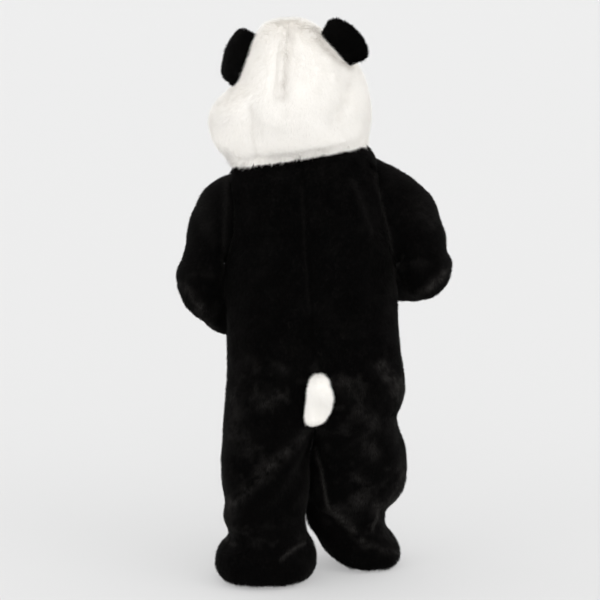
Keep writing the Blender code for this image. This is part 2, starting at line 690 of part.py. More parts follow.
def tail(left, right, name, tint):
    """A stuffed oblong that hangs from the middle seam, with its near side just off the back."""
    top, bottom = TAIL_TOP, TAIL_TOP - TAIL_LENGTH
    steps = 16

    def back_y(x, height):
        cloth = left if x >= body_middle(height) else right
        angle = cloth.angle_at_x(height, x)
        return cloth.point(height, angle).y

    rings = []
    for share in (0.02, 0.09, 0.22, 0.40, 0.60, 0.78, 0.91, 0.98):
        height = top + (bottom - top) * share
        size = (1 - abs(2 * share - 1) ** 2.6) ** 0.5
        middle = -0.010 - 0.006 * math.sin(math.pi * share) + 0.009 * share
        spots = [(aside, above) for aside in (-1, -0.5, 0, 0.5, 1) for above in (-0.003, 0, 0.003)]
        seat = max(back_y(middle + aside * TAIL_WIDTH / 2 * size, height + above) for aside, above in spots)
        ring = []
        for k in range(steps):
            turn = 2 * math.pi * k / steps
            x = middle + TAIL_WIDTH / 2 * size * math.cos(turn)
            y = seat + SEAM_GAP + TAIL_THICKNESS / 2 * size * (1 + math.sin(turn))
            ring.append(Vector((x, y, height)))
        rings.append(ring)
    return loft(name, rings, tint)


def front_frame(left, height):
    """The point on the middle of the front, the way out of the cloth there, and the way up along it."""
    angle = left.angle_at_x(height, body_middle(height), front=True)
    point = left.point(height, angle)
    out = left.normal(height, angle)
    out.x = 0
    out.normalize()
    return point, out, out.cross(Vector((1, 0, 0))).normalized()


def zip_chain(left, right, name, tint):
    """Tape and closed coil in one strip, behind the front panels and up between their edges."""
    rings = []
    bend = [0.60, 0.612, 0.624, 0.636, 0.646, 0.653, 0.659]
    heights = [ZIP_LOW] + spaced(ZIP_LOW + 0.02, 0.60, 0.03) + bend
    for height in heights:
        middle = body_middle(height)

        def deep_point(offset, depth):
            cloth = left if offset >= 0 else right
            angle = cloth.angle_at_x(height, middle + offset, front=True)
            return cloth.point(height, angle) - cloth.normal(height, angle) * depth

        face = PLUSH + ZIP_STAND_OFF
        rear = face + ZIP_TAPE_THICKNESS
        chain = face - ZIP_CHAIN_HEIGHT
        rings.append(
            [
                deep_point(-ZIP_TAPE_HALF, face),
                deep_point(-ZIP_CHAIN_HALF, face),
                deep_point(-ZIP_CHAIN_HALF, chain),
                deep_point(ZIP_CHAIN_HALF, chain),
                deep_point(ZIP_CHAIN_HALF, face),
                deep_point(ZIP_TAPE_HALF, face),
                deep_point(ZIP_TAPE_HALF, rear),
                deep_point(-ZIP_TAPE_HALF, rear),
            ]
        )
    return loft(name, rings, tint)


def box(mesh, low, high):
    made = bmesh.ops.create_cube(mesh, size=1.0)["verts"]
    low, high = Vector(low), Vector(high)
    for vert in made:
        vert.co = Vector((low[i] + (vert.co[i] + 0.5) * (high[i] - low[i]) for i in range(3)))


MM = 0.001
PULL_AXIS_OUT = 8.2 * MM  # from the slider's seat to the pull's hinge


def slider_matrix(left):
    """The slider's own axes: x across the zip, y up along it, z out of the cloth, at its seat on the coil."""
    point, out, up = front_frame(left, SLIDER_HEIGHT)
    seat = point - out * (PLUSH + ZIP_STAND_OFF - ZIP_CHAIN_HEIGHT - SEAM_GAP)
    across = up.cross(out).normalized()
    axes = Matrix((across, up, out)).transposed().to_4x4()
    return Matrix.Translation(seat) @ axes


def slider(name, tint):
    """The slider's body with the arch that holds the pull."""
    body = bmesh.new()
    box(body, (-3 * MM, -5.5 * MM, 0), (3 * MM, 5.5 * MM, 3 * MM))
    solid = finish_solid(name, body, tint)
    arch = bmesh.new()
    box(arch, (-0.9 * MM, -3.5 * MM, 2.5 * MM), (0.9 * MM, 3.5 * MM, 10.9 * MM))
    arch_solid = finish_solid("slider_arch", arch, tint)
    hole = bmesh.new()
    box(hole, (-2 * MM, -2.3 * MM, 3.2 * MM), (2 * MM, 2.3 * MM, 9.6 * MM))
    hole_solid = finish_solid("slider_window", hole, tint)
    for helper, operation in ((arch_solid, "UNION"), (hole_solid, "DIFFERENCE")):
        helper.hide_render = True
        helper.display_type = "WIRE"
        helper.parent = solid
        change = solid.modifiers.new(operation, "BOOLEAN")
        change.operation = operation
        change.object = helper
    return solid


def pull(name, tint):
    """The pull tab: a plate with an eye round the slider's arch. Its origin is on its hinge."""
    half, thick = 3.0 * MM, 0.7 * MM
    mesh = bmesh.new()
    outer = [(-half, 0.8 * MM), (half, 0.8 * MM), (half, -20 * MM), (-half, -20 * MM)]
    eye = [(-1.9 * MM, -0.8 * MM), (1.9 * MM, -0.8 * MM), (1.9 * MM, -6 * MM), (-1.9 * MM, -6 * MM)]
    layers = []
    for z in (-thick, thick):
        layers.append(
            (
                [mesh.verts.new((x, y, z)) for x, y in outer],
                [mesh.verts.new((x, y, z)) for x, y in eye],
            )
        )
    (low_out, low_eye), (high_out, high_eye) = layers
    for k in range(4):
        n = (k + 1) % 4
        mesh.faces.new([low_out[k], low_out[n], low_eye[n], low_eye[k]])
        mesh.faces.new([high_out[k], high_eye[k], high_eye[n], high_out[n]])
        mesh.faces.new([low_out[k], high_out[k], high_out[n], low_out[n]])
        mesh.faces.new([low_eye[k], low_eye[n], high_eye[n], high_eye[k]])
    return finish_solid(name, mesh, tint)


def main():
    clear_scene()
    black = material("black_plush", FUR_BLACK, 0.9)
    white = material("white_plush", FUR_WHITE, 0.9)
    tape = material("zip_tape", TAPE_BLACK, 0.7)
    metal = material("nickel", NICKEL, 0.35, 1.0)

    worn = bpy.data.objects.new("worn_suit", None)
    bpy.context.scene.collection.objects.link(worn)
    worn.location = -SHOULDER_MIDDLE

    left, right = two_sides(
        Cloth(1, TORSO + LEFT_LEG, LEFT_FOLDS, body_seams),
        Cloth(-1, TORSO + RIGHT_LEG, RIGHT_FOLDS, body_seams),
    )
    hood_left, hood_right = two_sides(
        Cloth(1, HOOD, HOOD_LEFT_FOLDS, hood_seams),
        Cloth(-1, HOOD, HOOD_RIGHT_FOLDS, hood_seams),
    )

    place(back_panel(left, "back_left", black), worn, (1, 1, 0))
    place(back_panel(right, "back_right", black), worn, (-1, 1, 0))
    place(front_panel(left, "front_left", black), worn, (1, -1, 0))
    place(front_panel(right, "front_right", black), worn, (-1, -1, 0))
    place(sleeve(left, LEFT_SLEEVE, LEFT_SLEEVE_FOLDS, "sleeve_left", black), worn, (2, 0, 0))
    place(sleeve(right, RIGHT_SLEEVE, RIGHT_SLEEVE_FOLDS, "sleeve_right", black), worn, (-2, 0, 0))
    place(hood_back(hood_left, "hood_back_left", white), worn, (1, 1, 4))
    place(hood_back(hood_right, "hood_back_right", white), worn, (-1, 1, 4))
    place(hood_front(hood_left, hood_right, "hood_front", white), worn, (0, -1, 4))
    for cloth, shape in zip((hood_left, hood_right), EARS):
        place(ear(cloth, shape, "ear_" + shape.side, black), worn, (0, 0, 4))
    place(tail(left, right, "tail", white), worn, (0, 2, 0))
    place(zip_chain(left, right, "zip_tape_and_coil", tape), worn)

    seat = slider_matrix(left)
    slider_body = slider("zip_slider", metal)
    slider_body.parent = worn
    slider_body.matrix_local = seat
    tab = pull("zip_pull", metal)
    tab.parent = worn
    hinge = seat @ Vector((0, 0, PULL_AXIS_OUT))
    tab.matrix_local = Matrix.Translation(hinge) @ Matrix.Rotation(math.radians(90), 4, "X")


main()
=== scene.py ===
import math

import bmesh
import bpy
import numpy as np
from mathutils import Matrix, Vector, kdtree
from mathutils.bvhtree import BVHTree


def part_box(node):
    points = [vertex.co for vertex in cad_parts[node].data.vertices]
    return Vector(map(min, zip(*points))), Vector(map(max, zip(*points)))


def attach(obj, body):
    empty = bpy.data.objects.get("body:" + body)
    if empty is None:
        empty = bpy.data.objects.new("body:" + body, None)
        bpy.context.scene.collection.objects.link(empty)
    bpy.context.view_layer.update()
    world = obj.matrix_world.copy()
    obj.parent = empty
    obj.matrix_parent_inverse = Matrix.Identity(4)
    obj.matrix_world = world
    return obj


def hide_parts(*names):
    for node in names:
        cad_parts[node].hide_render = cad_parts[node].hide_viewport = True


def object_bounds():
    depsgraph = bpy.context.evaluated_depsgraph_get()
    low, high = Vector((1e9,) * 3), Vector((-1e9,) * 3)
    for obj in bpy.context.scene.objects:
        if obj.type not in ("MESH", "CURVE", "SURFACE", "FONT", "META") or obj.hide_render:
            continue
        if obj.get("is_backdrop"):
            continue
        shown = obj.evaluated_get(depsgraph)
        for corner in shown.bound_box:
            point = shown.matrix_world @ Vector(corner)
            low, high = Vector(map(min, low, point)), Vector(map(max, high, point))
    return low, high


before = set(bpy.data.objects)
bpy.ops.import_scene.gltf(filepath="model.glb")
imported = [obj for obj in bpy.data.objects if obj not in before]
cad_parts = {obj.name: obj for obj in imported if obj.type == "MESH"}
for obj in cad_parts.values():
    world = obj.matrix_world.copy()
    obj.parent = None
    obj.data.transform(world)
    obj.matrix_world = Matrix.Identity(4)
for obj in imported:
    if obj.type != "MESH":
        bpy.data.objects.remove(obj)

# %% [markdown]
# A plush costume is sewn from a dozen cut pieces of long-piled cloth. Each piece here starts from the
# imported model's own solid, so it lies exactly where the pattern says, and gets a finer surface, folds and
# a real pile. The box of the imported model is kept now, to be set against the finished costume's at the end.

MM = 0.001
cad_box = [list(corner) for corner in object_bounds()]
print("packed model, low and high corner:", cad_box)
scene = bpy.context.scene


def add_object(name, data):
    made = bpy.data.objects.new(name, data)
    scene.collection.objects.link(made)
    return made


def unit(vectors):
    """Vectors made one long; a vector without length stays as it is."""
    return vectors / np.maximum(np.linalg.norm(vectors, axis=-1, keepdims=True), 1e-12)


def smooth_step(value, low, high):
    """0 below low, 1 above high and a soft rise between them."""
    part = np.clip((value - low) / (high - low), 0.0, 1.0)
    return part * part * (3.0 - 2.0 * part)


def bell(distance, width):
    """1 on a line and less beside it: a third at the given width and next to nothing at twice that."""
    return np.exp(-((distance / width) ** 2))


# %% [markdown]
# The photographer stood about three metres off, a little above the costume's middle, straight behind it.
# A long lens keeps the hems and the crown equally upright. The camera looks down by ten degrees, and the
# aim is set so that the costume stands in the same place in the square picture as it does in the photograph.

# %% Camera
PICTURE = 600
LENS_POINTS = 1973.7
CAMERA_AWAY = 3.0
POINT = CAMERA_AWAY / LENS_POINTS  # metres that one point of the picture stands for
CAMERA_TILT = math.radians(10.0)
AIM = Vector((0.0053, 0.0, -0.1835))

to_camera = Vector((0.0, math.cos(CAMERA_TILT), math.sin(CAMERA_TILT)))
camera_data = bpy.data.cameras.new("camera")
camera_data.sensor_width = 36.0
camera_data.lens = LENS_POINTS * camera_data.sensor_width / PICTURE
camera = add_object("camera", camera_data)
camera.location = AIM + to_camera * CAMERA_AWAY
camera.rotation_euler = to_camera.to_track_quat("Z", "Y").to_euler()
scene.camera = camera
print("lens", round(camera_data.lens, 1), "mm")


def in_picture(points):
    """Where points in the room fall in the square picture, counted from its upper left corner."""
    forward = -np.array(to_camera)
    right = np.array((-1.0, 0.0, 0.0))
    up = np.cross(right, forward)
    away = np.asarray(points) - np.array(camera.location)
    depth = away @ forward
    across = PICTURE / 2 + LENS_POINTS * (away @ right) / depth
    down = PICTURE / 2 - LENS_POINTS * (away @ up) / depth
    return np.stack((across, down), axis=1)


def facing_camera(points, normals, low, high):
    """1 where the cloth faces the camera and 0 where it turns away, with a soft change from low to high."""
    away = unit(np.array(camera.location) - points)
    return smooth_step((normals * away).sum(axis=1), low, high)


# %% [markdown]
# A studio floor of pale paper runs on to the far wall. Here it is one very wide sheet, and the surroundings
# have the same pale grey, so that no horizon shows. The sheet glows a little, as paper does on a lit table,
# which keeps the shadow at the feet soft. The light is a bright, even surround and four broad lamps: a key
# lamp and a fill lamp on either side of the camera, and two low ones that lift the flanks of the pile.

# %% Floor, surroundings and lamps
FLOOR_GREY = 0.37
FLOOR_GLOW = 0.325
FLOOR_HALF = 40.0
FLOOR_DROP = 1.5 * MM  # the floor lies this far under the solids, for the pile of the hems
SKY_GREY = 0.895
LAMPS = {
    # name: (x, y, z towards the lamp, strength, degrees of the sky that it fills)
    "key_lamp": (-0.45, 0.85, 0.28, 1.65, 80),
    "fill_lamp": (0.45, 0.85, 0.04, 1.75, 90),
    "left_lamp": (0.95, 0.25, 0.08, 1.6, 80),
    "right_lamp": (-0.95, 0.25, 0.14, 1.4, 80),
}
scene.view_settings.view_transform = "Standard"


def new_material(name):
    made = bpy.data.materials.new(name)
    made.use_nodes = True
    return made, made.node_tree, made.node_tree.nodes["Principled BSDF"]


def put(node, **values):
    """Set sockets of a node. A low line in a name stands for a space."""
    for name, value in values.items():
        node.inputs[name.replace("_", " ")].default_value = value


floor_height = cad_box[0][2] - FLOOR_DROP
floor_mesh = bpy.data.meshes.new("studio_floor")
floor_corners = [(x * FLOOR_HALF, y * FLOOR_HALF, 0) for x, y in ((-1, -1), (1, -1), (1, 1), (-1, 1))]
floor_mesh.from_pydata(floor_corners, [], [(0, 1, 2, 3)])
floor = add_object("studio_floor", floor_mesh)
floor.location.z = floor_height
paper, tree, shader = new_material("studio_paper")
put(shader, Base_Color=(FLOOR_GREY, FLOOR_GREY, FLOOR_GREY, 1), Roughness=0.95, Specular_IOR_Level=0.1)
put(shader, Emission_Color=(1, 1, 1, 1), Emission_Strength=FLOOR_GLOW)
floor_mesh.materials.append(paper)
floor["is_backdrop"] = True

world = bpy.data.worlds.new("studio")
world.use_nodes = True
put(world.node_tree.nodes["Background"], Color=(SKY_GREY, SKY_GREY, SKY_GREY, 1), Strength=1.0)
scene.world = world

for name, (x, y, z, strength, spread) in LAMPS.items():
    light = bpy.data.lights.new(name, "SUN")
    light.energy = strength
    light.angle = math.radians(spread)
    lamp = add_object(name, light)
    lamp.rotation_euler = Vector((x, y, z)).to_track_quat("Z", "Y").to_euler()
print("floor at", round(floor_height, 4))

# %% [markdown]
# Long-piled cloth never lies quite flat: it wavers a little everywhere. A smooth random field over space
# gives these wavers, and the same field later tells neighbouring tufts which way to lean together.

# %% A smooth random field
LATTICE = np.array(  # large numbers that mix the cells of the field, one row for each channel
    ((73856093, 19349663, 83492791), (39916801, 47055833, 12582917), (28657, 514229, 433494437))
)


def wavering(points, size, seed, channel=0):
    """Values from -1 to 1 that change smoothly over about the given size in metres."""
    place = points / size + seed * 7.31
    cell = np.floor(place).astype(np.int64)
    part = place - cell
    part = part * part * (3.0 - 2.0 * part)
    total = np.zeros(len(points))
    for corner in range(8):
        step = np.array((corner & 1, corner >> 1 & 1, corner >> 2 & 1))
        weight = np.prod(np.where(step, part, 1.0 - part), axis=1)
        mixed = ((cell + step) * LATTICE[channel]).sum(axis=1)
        mixed = (mixed ^ (mixed >> 13)) * 1274126177
        total += weight * (((mixed ^ (mixed >> 16)) & 0xFFFF) / 32767.5 - 1.0)
    return total


# %% [markdown]
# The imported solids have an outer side, an inner side and narrow edges between them. A cut piece of cloth is
# one sheet, so only the outer side is taken: faces that meet at a soft angle belong to one side, and the side
# that faces away from the middle of the garment is the outer one. Its big facets are then rounded with
# subdivision, which keeps the outline of the cut.

# %% From a solid to one smooth sheet
SIDE_ANGLE = math.radians(38)
QUAD_ANGLE = math.radians(50)
QUAD_SHAPE = math.radians(70)
SAME_CORNER = 0.00001


def sides_of(mesh):
    """Groups of faces that meet each other at soft angles, the largest first."""
    left_over = set(mesh.faces)
    groups = []
    while left_over:
        first = left_over.pop()
        group, waiting = {first}, [first]
        while waiting:
            for edge in waiting.pop().edges:
                if len(edge.link_faces) == 2 and edge.calc_face_angle(0.0) < SIDE_ANGLE:
                    for face in edge.link_faces:
                        if face in left_over:
                            left_over.discard(face)
                            group.add(face)
                            waiting.append(face)
        groups.append(group)
    return sorted(groups, key=lambda group: -sum(face.calc_area() for face in group))


def node_mesh(name):
    """A node's own mesh with its doubled corners joined."""
    mesh = bmesh.new()
    mesh.from_mesh(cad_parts[name].data)
    bmesh.ops.remove_doubles(mesh, verts=mesh.verts, dist=SAME_CORNER)
    return mesh


def facing_away(group, middle):
    return sum(face.normal.dot(face.calc_center_median() - middle) * face.calc_area() for face in group)


def outer_side(name, middle):
    """The outer faces of a node as a mesh. The flank of a deep fold belongs to the side it touches."""
    mesh = node_mesh(name)
    groups = sides_of(mesh)
    inner, outer = sorted(groups[:2], key=lambda group: facing_away(group, middle))
    small = groups[2:]
    grew = True
    while grew:
        grew = False
        for group in list(small):
            touching = {face for own in group for edge in own.edges for face in edge.link_faces} - group
            if touching & outer and not touching & inner:
                outer |= group
                small.remove(group)
                grew = True
    area = sum(face.calc_area() for face in outer)
    print(name, "outer side", round(area, 4), "m2, edges left out:", len(small))
    bmesh.ops.delete(mesh, geom=[face for face in mesh.faces if face not in outer], context="FACES")
    return mesh


def rounded(mesh, levels):
    """Corner positions and four-cornered faces of a mesh after its facets are rounded."""
    bmesh.ops.join_triangles(
        mesh, faces=mesh.faces, angle_face_threshold=QUAD_ANGLE, angle_shape_threshold=QUAD_SHAPE
    )
    data = bpy.data.meshes.new("rounding")
    mesh.to_mesh(data)
    mesh.free()
    helper = add_object("rounding", data)
    change = helper.modifiers.new("rounding", "SUBSURF")
    change.levels = levels
    change.boundary_smooth = "PRESERVE_CORNERS"
    smooth = bpy.data.meshes.new_from_object(helper.evaluated_get(bpy.context.evaluated_depsgraph_get()))
    points = np.empty(len(smooth.vertices) * 3)
    smooth.vertices.foreach_get("co", points)
    faces = np.empty(len(smooth.loops), dtype=np.int64)
    smooth.loops.foreach_get("vertex_index", faces)
    bpy.data.objects.remove(helper)
    bpy.data.meshes.remove(data)
    bpy.data.meshes.remove(smooth)
    return points.reshape(-1, 3), faces.reshape(-1, 4)


def corner_normals(points, faces):
    """The way out of the surface at each corner."""
    across = np.cross(points[faces[:, 2]] - points[faces[:, 0]], points[faces[:, 3]] - points[faces[:, 1]])
    total = np.zeros_like(points)
    for k in range(4):
        np.add.at(total, faces[:, k], across)
    return unit(total)


# %% [markdown]
# Where two pieces meet, the stitches pull both into a shallow groove. Where a piece ends free, at the cuffs,
# hems, face opening and zip, the cloth is turned under. So each corner on the rim of a sheet is sorted: near
# a neighbour it is a seam, otherwise a free edge. Free edges are rolled under by a few rows of faces.

# %% Rims, seams and turned edges
SEAM_REACH = 4.5 * MM
SEW_REACH = 14.0 * MM
ROLL = 2.2 * MM
ROLL_STEPS = 4
TURNED_ROWS = 3
TURNED_STEP = 4.0 * MM

cloth_nodes = [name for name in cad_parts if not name.startswith(("zip", "ear", "tail"))]


def neighbours_of(name):
    """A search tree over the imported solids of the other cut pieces."""
    points, faces = [], []
    for other in cloth_nodes:
        if other != name:
            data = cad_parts[other].data
            start = len(points)
            points += [vert.co.copy() for vert in data.vertices]
            faces += [[start + k for k in poly.vertices] for poly in data.polygons]
    return BVHTree.FromPolygons(points, faces)


def rims(faces):
    """The sheet's open edges, chained corner after corner."""
    edges = np.concatenate([faces[:, [k, (k + 1) % 4]] for k in range(4)])
    size = int(faces.max()) + 1
    forward = edges[:, 0] * size + edges[:, 1]
    backward = edges[:, 1] * size + edges[:, 0]
    after = dict(edges[~np.isin(forward, backward)].tolist())
    chains = []
    while after:
        start, corner = after.popitem()
        chain = [start]
        while corner in after:
            chain.append(corner)
            corner = after.pop(corner)
        chains.append(chain)
    return chains


def turn_under(points, faces, normals, free):
    """Roll the free edges of a sheet under, and run them a little way back along its inside."""
    points, new_points, new_faces = points.copy(), [], []
    count = len(points)
    for chain in rims(faces):
        run = len(chain)
        ring = np.array(chain)
        along = points[np.roll(ring, -1)] - points[np.roll(ring, 1)]
        away = unit(np.cross(along, normals[ring]))
        loose = free[ring]
        if not loose.any():
            continue
        points[ring[loose]] -= away[loose] * ROLL
        centre = points[ring] - normals[ring] * ROLL
        rows = [ring]
        for step in range(1, ROLL_STEPS + 1):
            turn = math.pi * step / ROLL_STEPS
            new_points.append(centre + ROLL * (normals[ring] * math.cos(turn) + away * math.sin(turn)))
            rows.append(np.arange(run) + count)
            count += run
        for step in range(1, TURNED_ROWS + 1):
            new_points.append(centre - ROLL * normals[ring] - away * TURNED_STEP * step)
            rows.append(np.arange(run) + count)
            count += run
        for upper, lower in zip(rows, rows[1:]):
            for k in range(run):
                n = (k + 1) % run
                if loose[k] and loose[n]:
                    new_faces.append((upper[n], upper[k], lower[k], lower[n]))
    if new_faces:
        points = np.concatenate([points] + new_points)
        faces = np.concatenate([faces, np.array(new_faces)])
    return points, faces


# %% [markdown]
# The folds that show from behind are listed by where they lie in the photograph: a line of points in the
# square picture, how high the cloth stands (or how deep it sinks), and how wide it is on either side of the
# line. A fold only moves cloth that faces the camera, so it fades out round the sides by itself. Swells are
# broad, are placed in the room and fill the legs, the elbow and the waist from all sides. Two more changes
# follow: the hood's centre seam is slid over the surface to its place in the picture, and the cloth of the
# crotch is settled into a soft saddle.

# %% Folds seen from behind
FOLDS = {
    # name: (pieces, height mm, width to the left mm, width to the right mm, points across and down)
    "hood_left_crease": ("hood", -3.5, 9, 9, [(252, 107), (254, 130), (261, 162)]),
    "hood_trough": ("hood", -3.0, 11, 11, [(287, 30), (285, 50), (284, 75), (283, 100)]),
    "hood_dimple": ("hood", -3.5, 8, 8, [(226, 152), (230, 159), (236, 164)]),
    "hood_right_crease": ("hood", -3.0, 8, 8, [(349, 80), (345, 98), (337, 117)]),
    "back_ridge": ("back", 2.5, 16, 16, [(345, 175), (352, 215), (370, 255)]),
    "left_thigh_ridge": ("back", 3.0, 18, 8, [(305, 430), (282, 450), (256, 476), (232, 500)]),
    "left_thigh_shade": ("back", -5.0, 10, 26, [(304, 446), (285, 466), (262, 490), (240, 512)]),
    "left_pool_crease": ("back", -2.5, 7, 10, [(217, 538), (240, 545), (262, 548)]),
    "left_pool_ridge": ("back", 3.0, 4, 7, [(304, 540), (292, 548), (281, 557)]),
    "right_inner_ridge": ("back", 3.0, 5, 8, [(316, 446), (321, 468), (325, 486), (329, 506)]),
    "right_pool_ridge": ("back", 3.5, 8, 5, [(329, 508), (340, 516), (351, 527), (361, 538), (380, 545)]),
    "right_pool_crease": ("back", -4.5, 6, 14, [(324, 512), (336, 526), (350, 540), (372, 553)]),
    "right_pool_fold": ("back", 3.0, 6, 6, [(362, 508), (374, 518), (386, 530)]),
    "right_hem_ridge": ("back", 3.0, 6, 6, [(334, 556), (350, 566), (370, 566)]),
    "left_side_fold": ("back", -3.5, 7, 12, [(224, 372), (245, 380), (270, 378)]),
    "left_knee_fold": ("back", -3.5, 7, 12, [(221, 452), (240, 458), (262, 452)]),
    "right_hip_fold": ("back", -3.0, 8, 12, [(404, 362), (385, 372), (360, 376)]),
    "right_shin_fold": ("back", -3.5, 7, 10, [(406, 440), (385, 450), (362, 447)]),
    "left_elbow_fold": ("sleeve_left", -3.0, 6, 8, [(190, 290), (205, 284), (222, 288)]),
    "right_elbow_fold": ("sleeve_right", -3.0, 6, 8, [(398, 262), (415, 256), (440, 262)]),
}
SWELLS = {
    # name: (pieces, height mm, middle in the frame, reach up and down, reach across in metres)
    "right_leg_inside": (("back_right", "front_right"), 5.0, (-0.006, -0.02, -0.515), 0.05, 0.05),
    "left_leg_inside": (("back_left", "front_left"), 2.5, (-0.004, 0.00, -0.500), 0.05, 0.05),
    "left_elbow_inside": (("sleeve_left",), 4.0, (0.121, 0.01, -0.128), 0.022, 0.05),
    "left_waist": (("back_left", "front_left"), 3.0, (0.121, 0.01, -0.128), 0.022, 0.05),
}


def line_distance(seen, line):
    """How far seen points are from a line, which side they are on, and how near its ends they fall."""
    line = np.array(line, float)
    spans = np.linalg.norm(np.diff(line, axis=0), axis=1)
    whole = spans.sum()
    nearest = np.full(len(seen), np.inf)
    side = np.zeros(len(seen))
    along = np.zeros(len(seen))
    done = 0.0
    for start, end, span in zip(line, line[1:], spans):
        way = (end - start) / span
        gone = np.clip((seen - start) @ way, 0.0, span)
        off = seen - start - gone[:, None] * way
        distance = np.linalg.norm(off, axis=1)
        closer = distance < nearest
        nearest[closer] = distance[closer]
        side[closer] = (way[0] * off[:, 1] - way[1] * off[:, 0])[closer]
        along[closer] = ((done + gone) / whole)[closer]
        done += span
    return nearest, side, along


def folds_of(name, points, normals):
    """How far each corner of a piece moves out of the surface for the listed folds."""
    seen = in_picture(points)
    facing = facing_camera(points, normals, 0.05, 0.45)
    moved = np.zeros(len(points))
    for pieces, height, left, right, line in FOLDS.values():
        if name.startswith(pieces):
            distance, side, along = line_distance(seen, line)
            width = np.where(side < 0, left, right) * MM / POINT
            ends = smooth_step(along, -0.05, 0.2) * smooth_step(1.05 - along, 0.0, 0.25)
            moved += height * MM * bell(distance, width) * (0.35 + 0.65 * ends) * facing
    for pieces, height, middle, tall, wide in SWELLS.values():
        if name in pieces:
            off = (points - np.array(middle)) / np.array((wide, 3 * wide, tall))
            moved += height * MM * np.exp(-(off**2).sum(axis=1))
    return moved


HOOD_SEAM = ((288, 26), (286, 50), (285, 75), (283, 100), (290, 130), (300, 160))  # points across and down
SEAM_PULL = 24  # points of the picture over which the cloth beside the seam slides along with it
SEAM_FADE = 0.03  # metres behind the hood's middle within which the slide starts


def hood_skin():
    """Both halves of the hood's back as one surface, and their seam as points down and across the picture."""
    names = ("hood_back_left", "hood_back_right")
    halves = [rounded(outer_side(name, Vector(hood_middle)), 1) for name in names]
    left, right = (half[0] for half in halves)
    seam = left[nearest(left, right)[0] < 1.2 * MM]
    seam = in_picture(seam[seam[:, 1] > 0.01])
    seam = seam[np.argsort(seam[:, 1])]
    points = np.concatenate([left, right])
    faces = np.concatenate([halves[0][1], halves[1][1] + len(left)])
    return BVHTree.FromPolygons(points.tolist(), faces.tolist()), seam[:, 1], seam[:, 0]


def slid_seam(points, skin, seam_down, seam_across):
    """Points of the hood's back slid over its surface, so that the seam lies where the picture has it."""
    seen = in_picture(points)
    wanted = np.interp(seen[:, 1], [spot[1] for spot in HOOD_SEAM], [spot[0] for spot in HOOD_SEAM])
    seam = np.interp(seen[:, 1], seam_down, seam_across)
    by_seam = bell(seen[:, 0] - seam, SEAM_PULL) * smooth_step(points[:, 1], 0.0, SEAM_FADE)
    across = np.array((POINT, 0.0, 0.0))
    slid = points + ((seam - wanted) * by_seam)[:, None] * across
    return np.array([skin.find_nearest(Vector(point))[0] for point in slid])


def settled(points, faces, free, turns):
    """Points moved towards the middle of their neighbours some turns over, as much as free allows."""
    ends = np.concatenate([faces, np.roll(faces, -1, axis=1)]).reshape(2, -1)
    ends = np.concatenate([ends, ends[::-1]], axis=1)
    share = np.bincount(ends[0], minlength=len(points))[:, None]
    for _ in range(turns):
        total = np.zeros_like(points)
        np.add.at(total, ends[0], points[ends[1]])
        points = points + (total / share - points) * 0.5 * free[:, None]
    return points
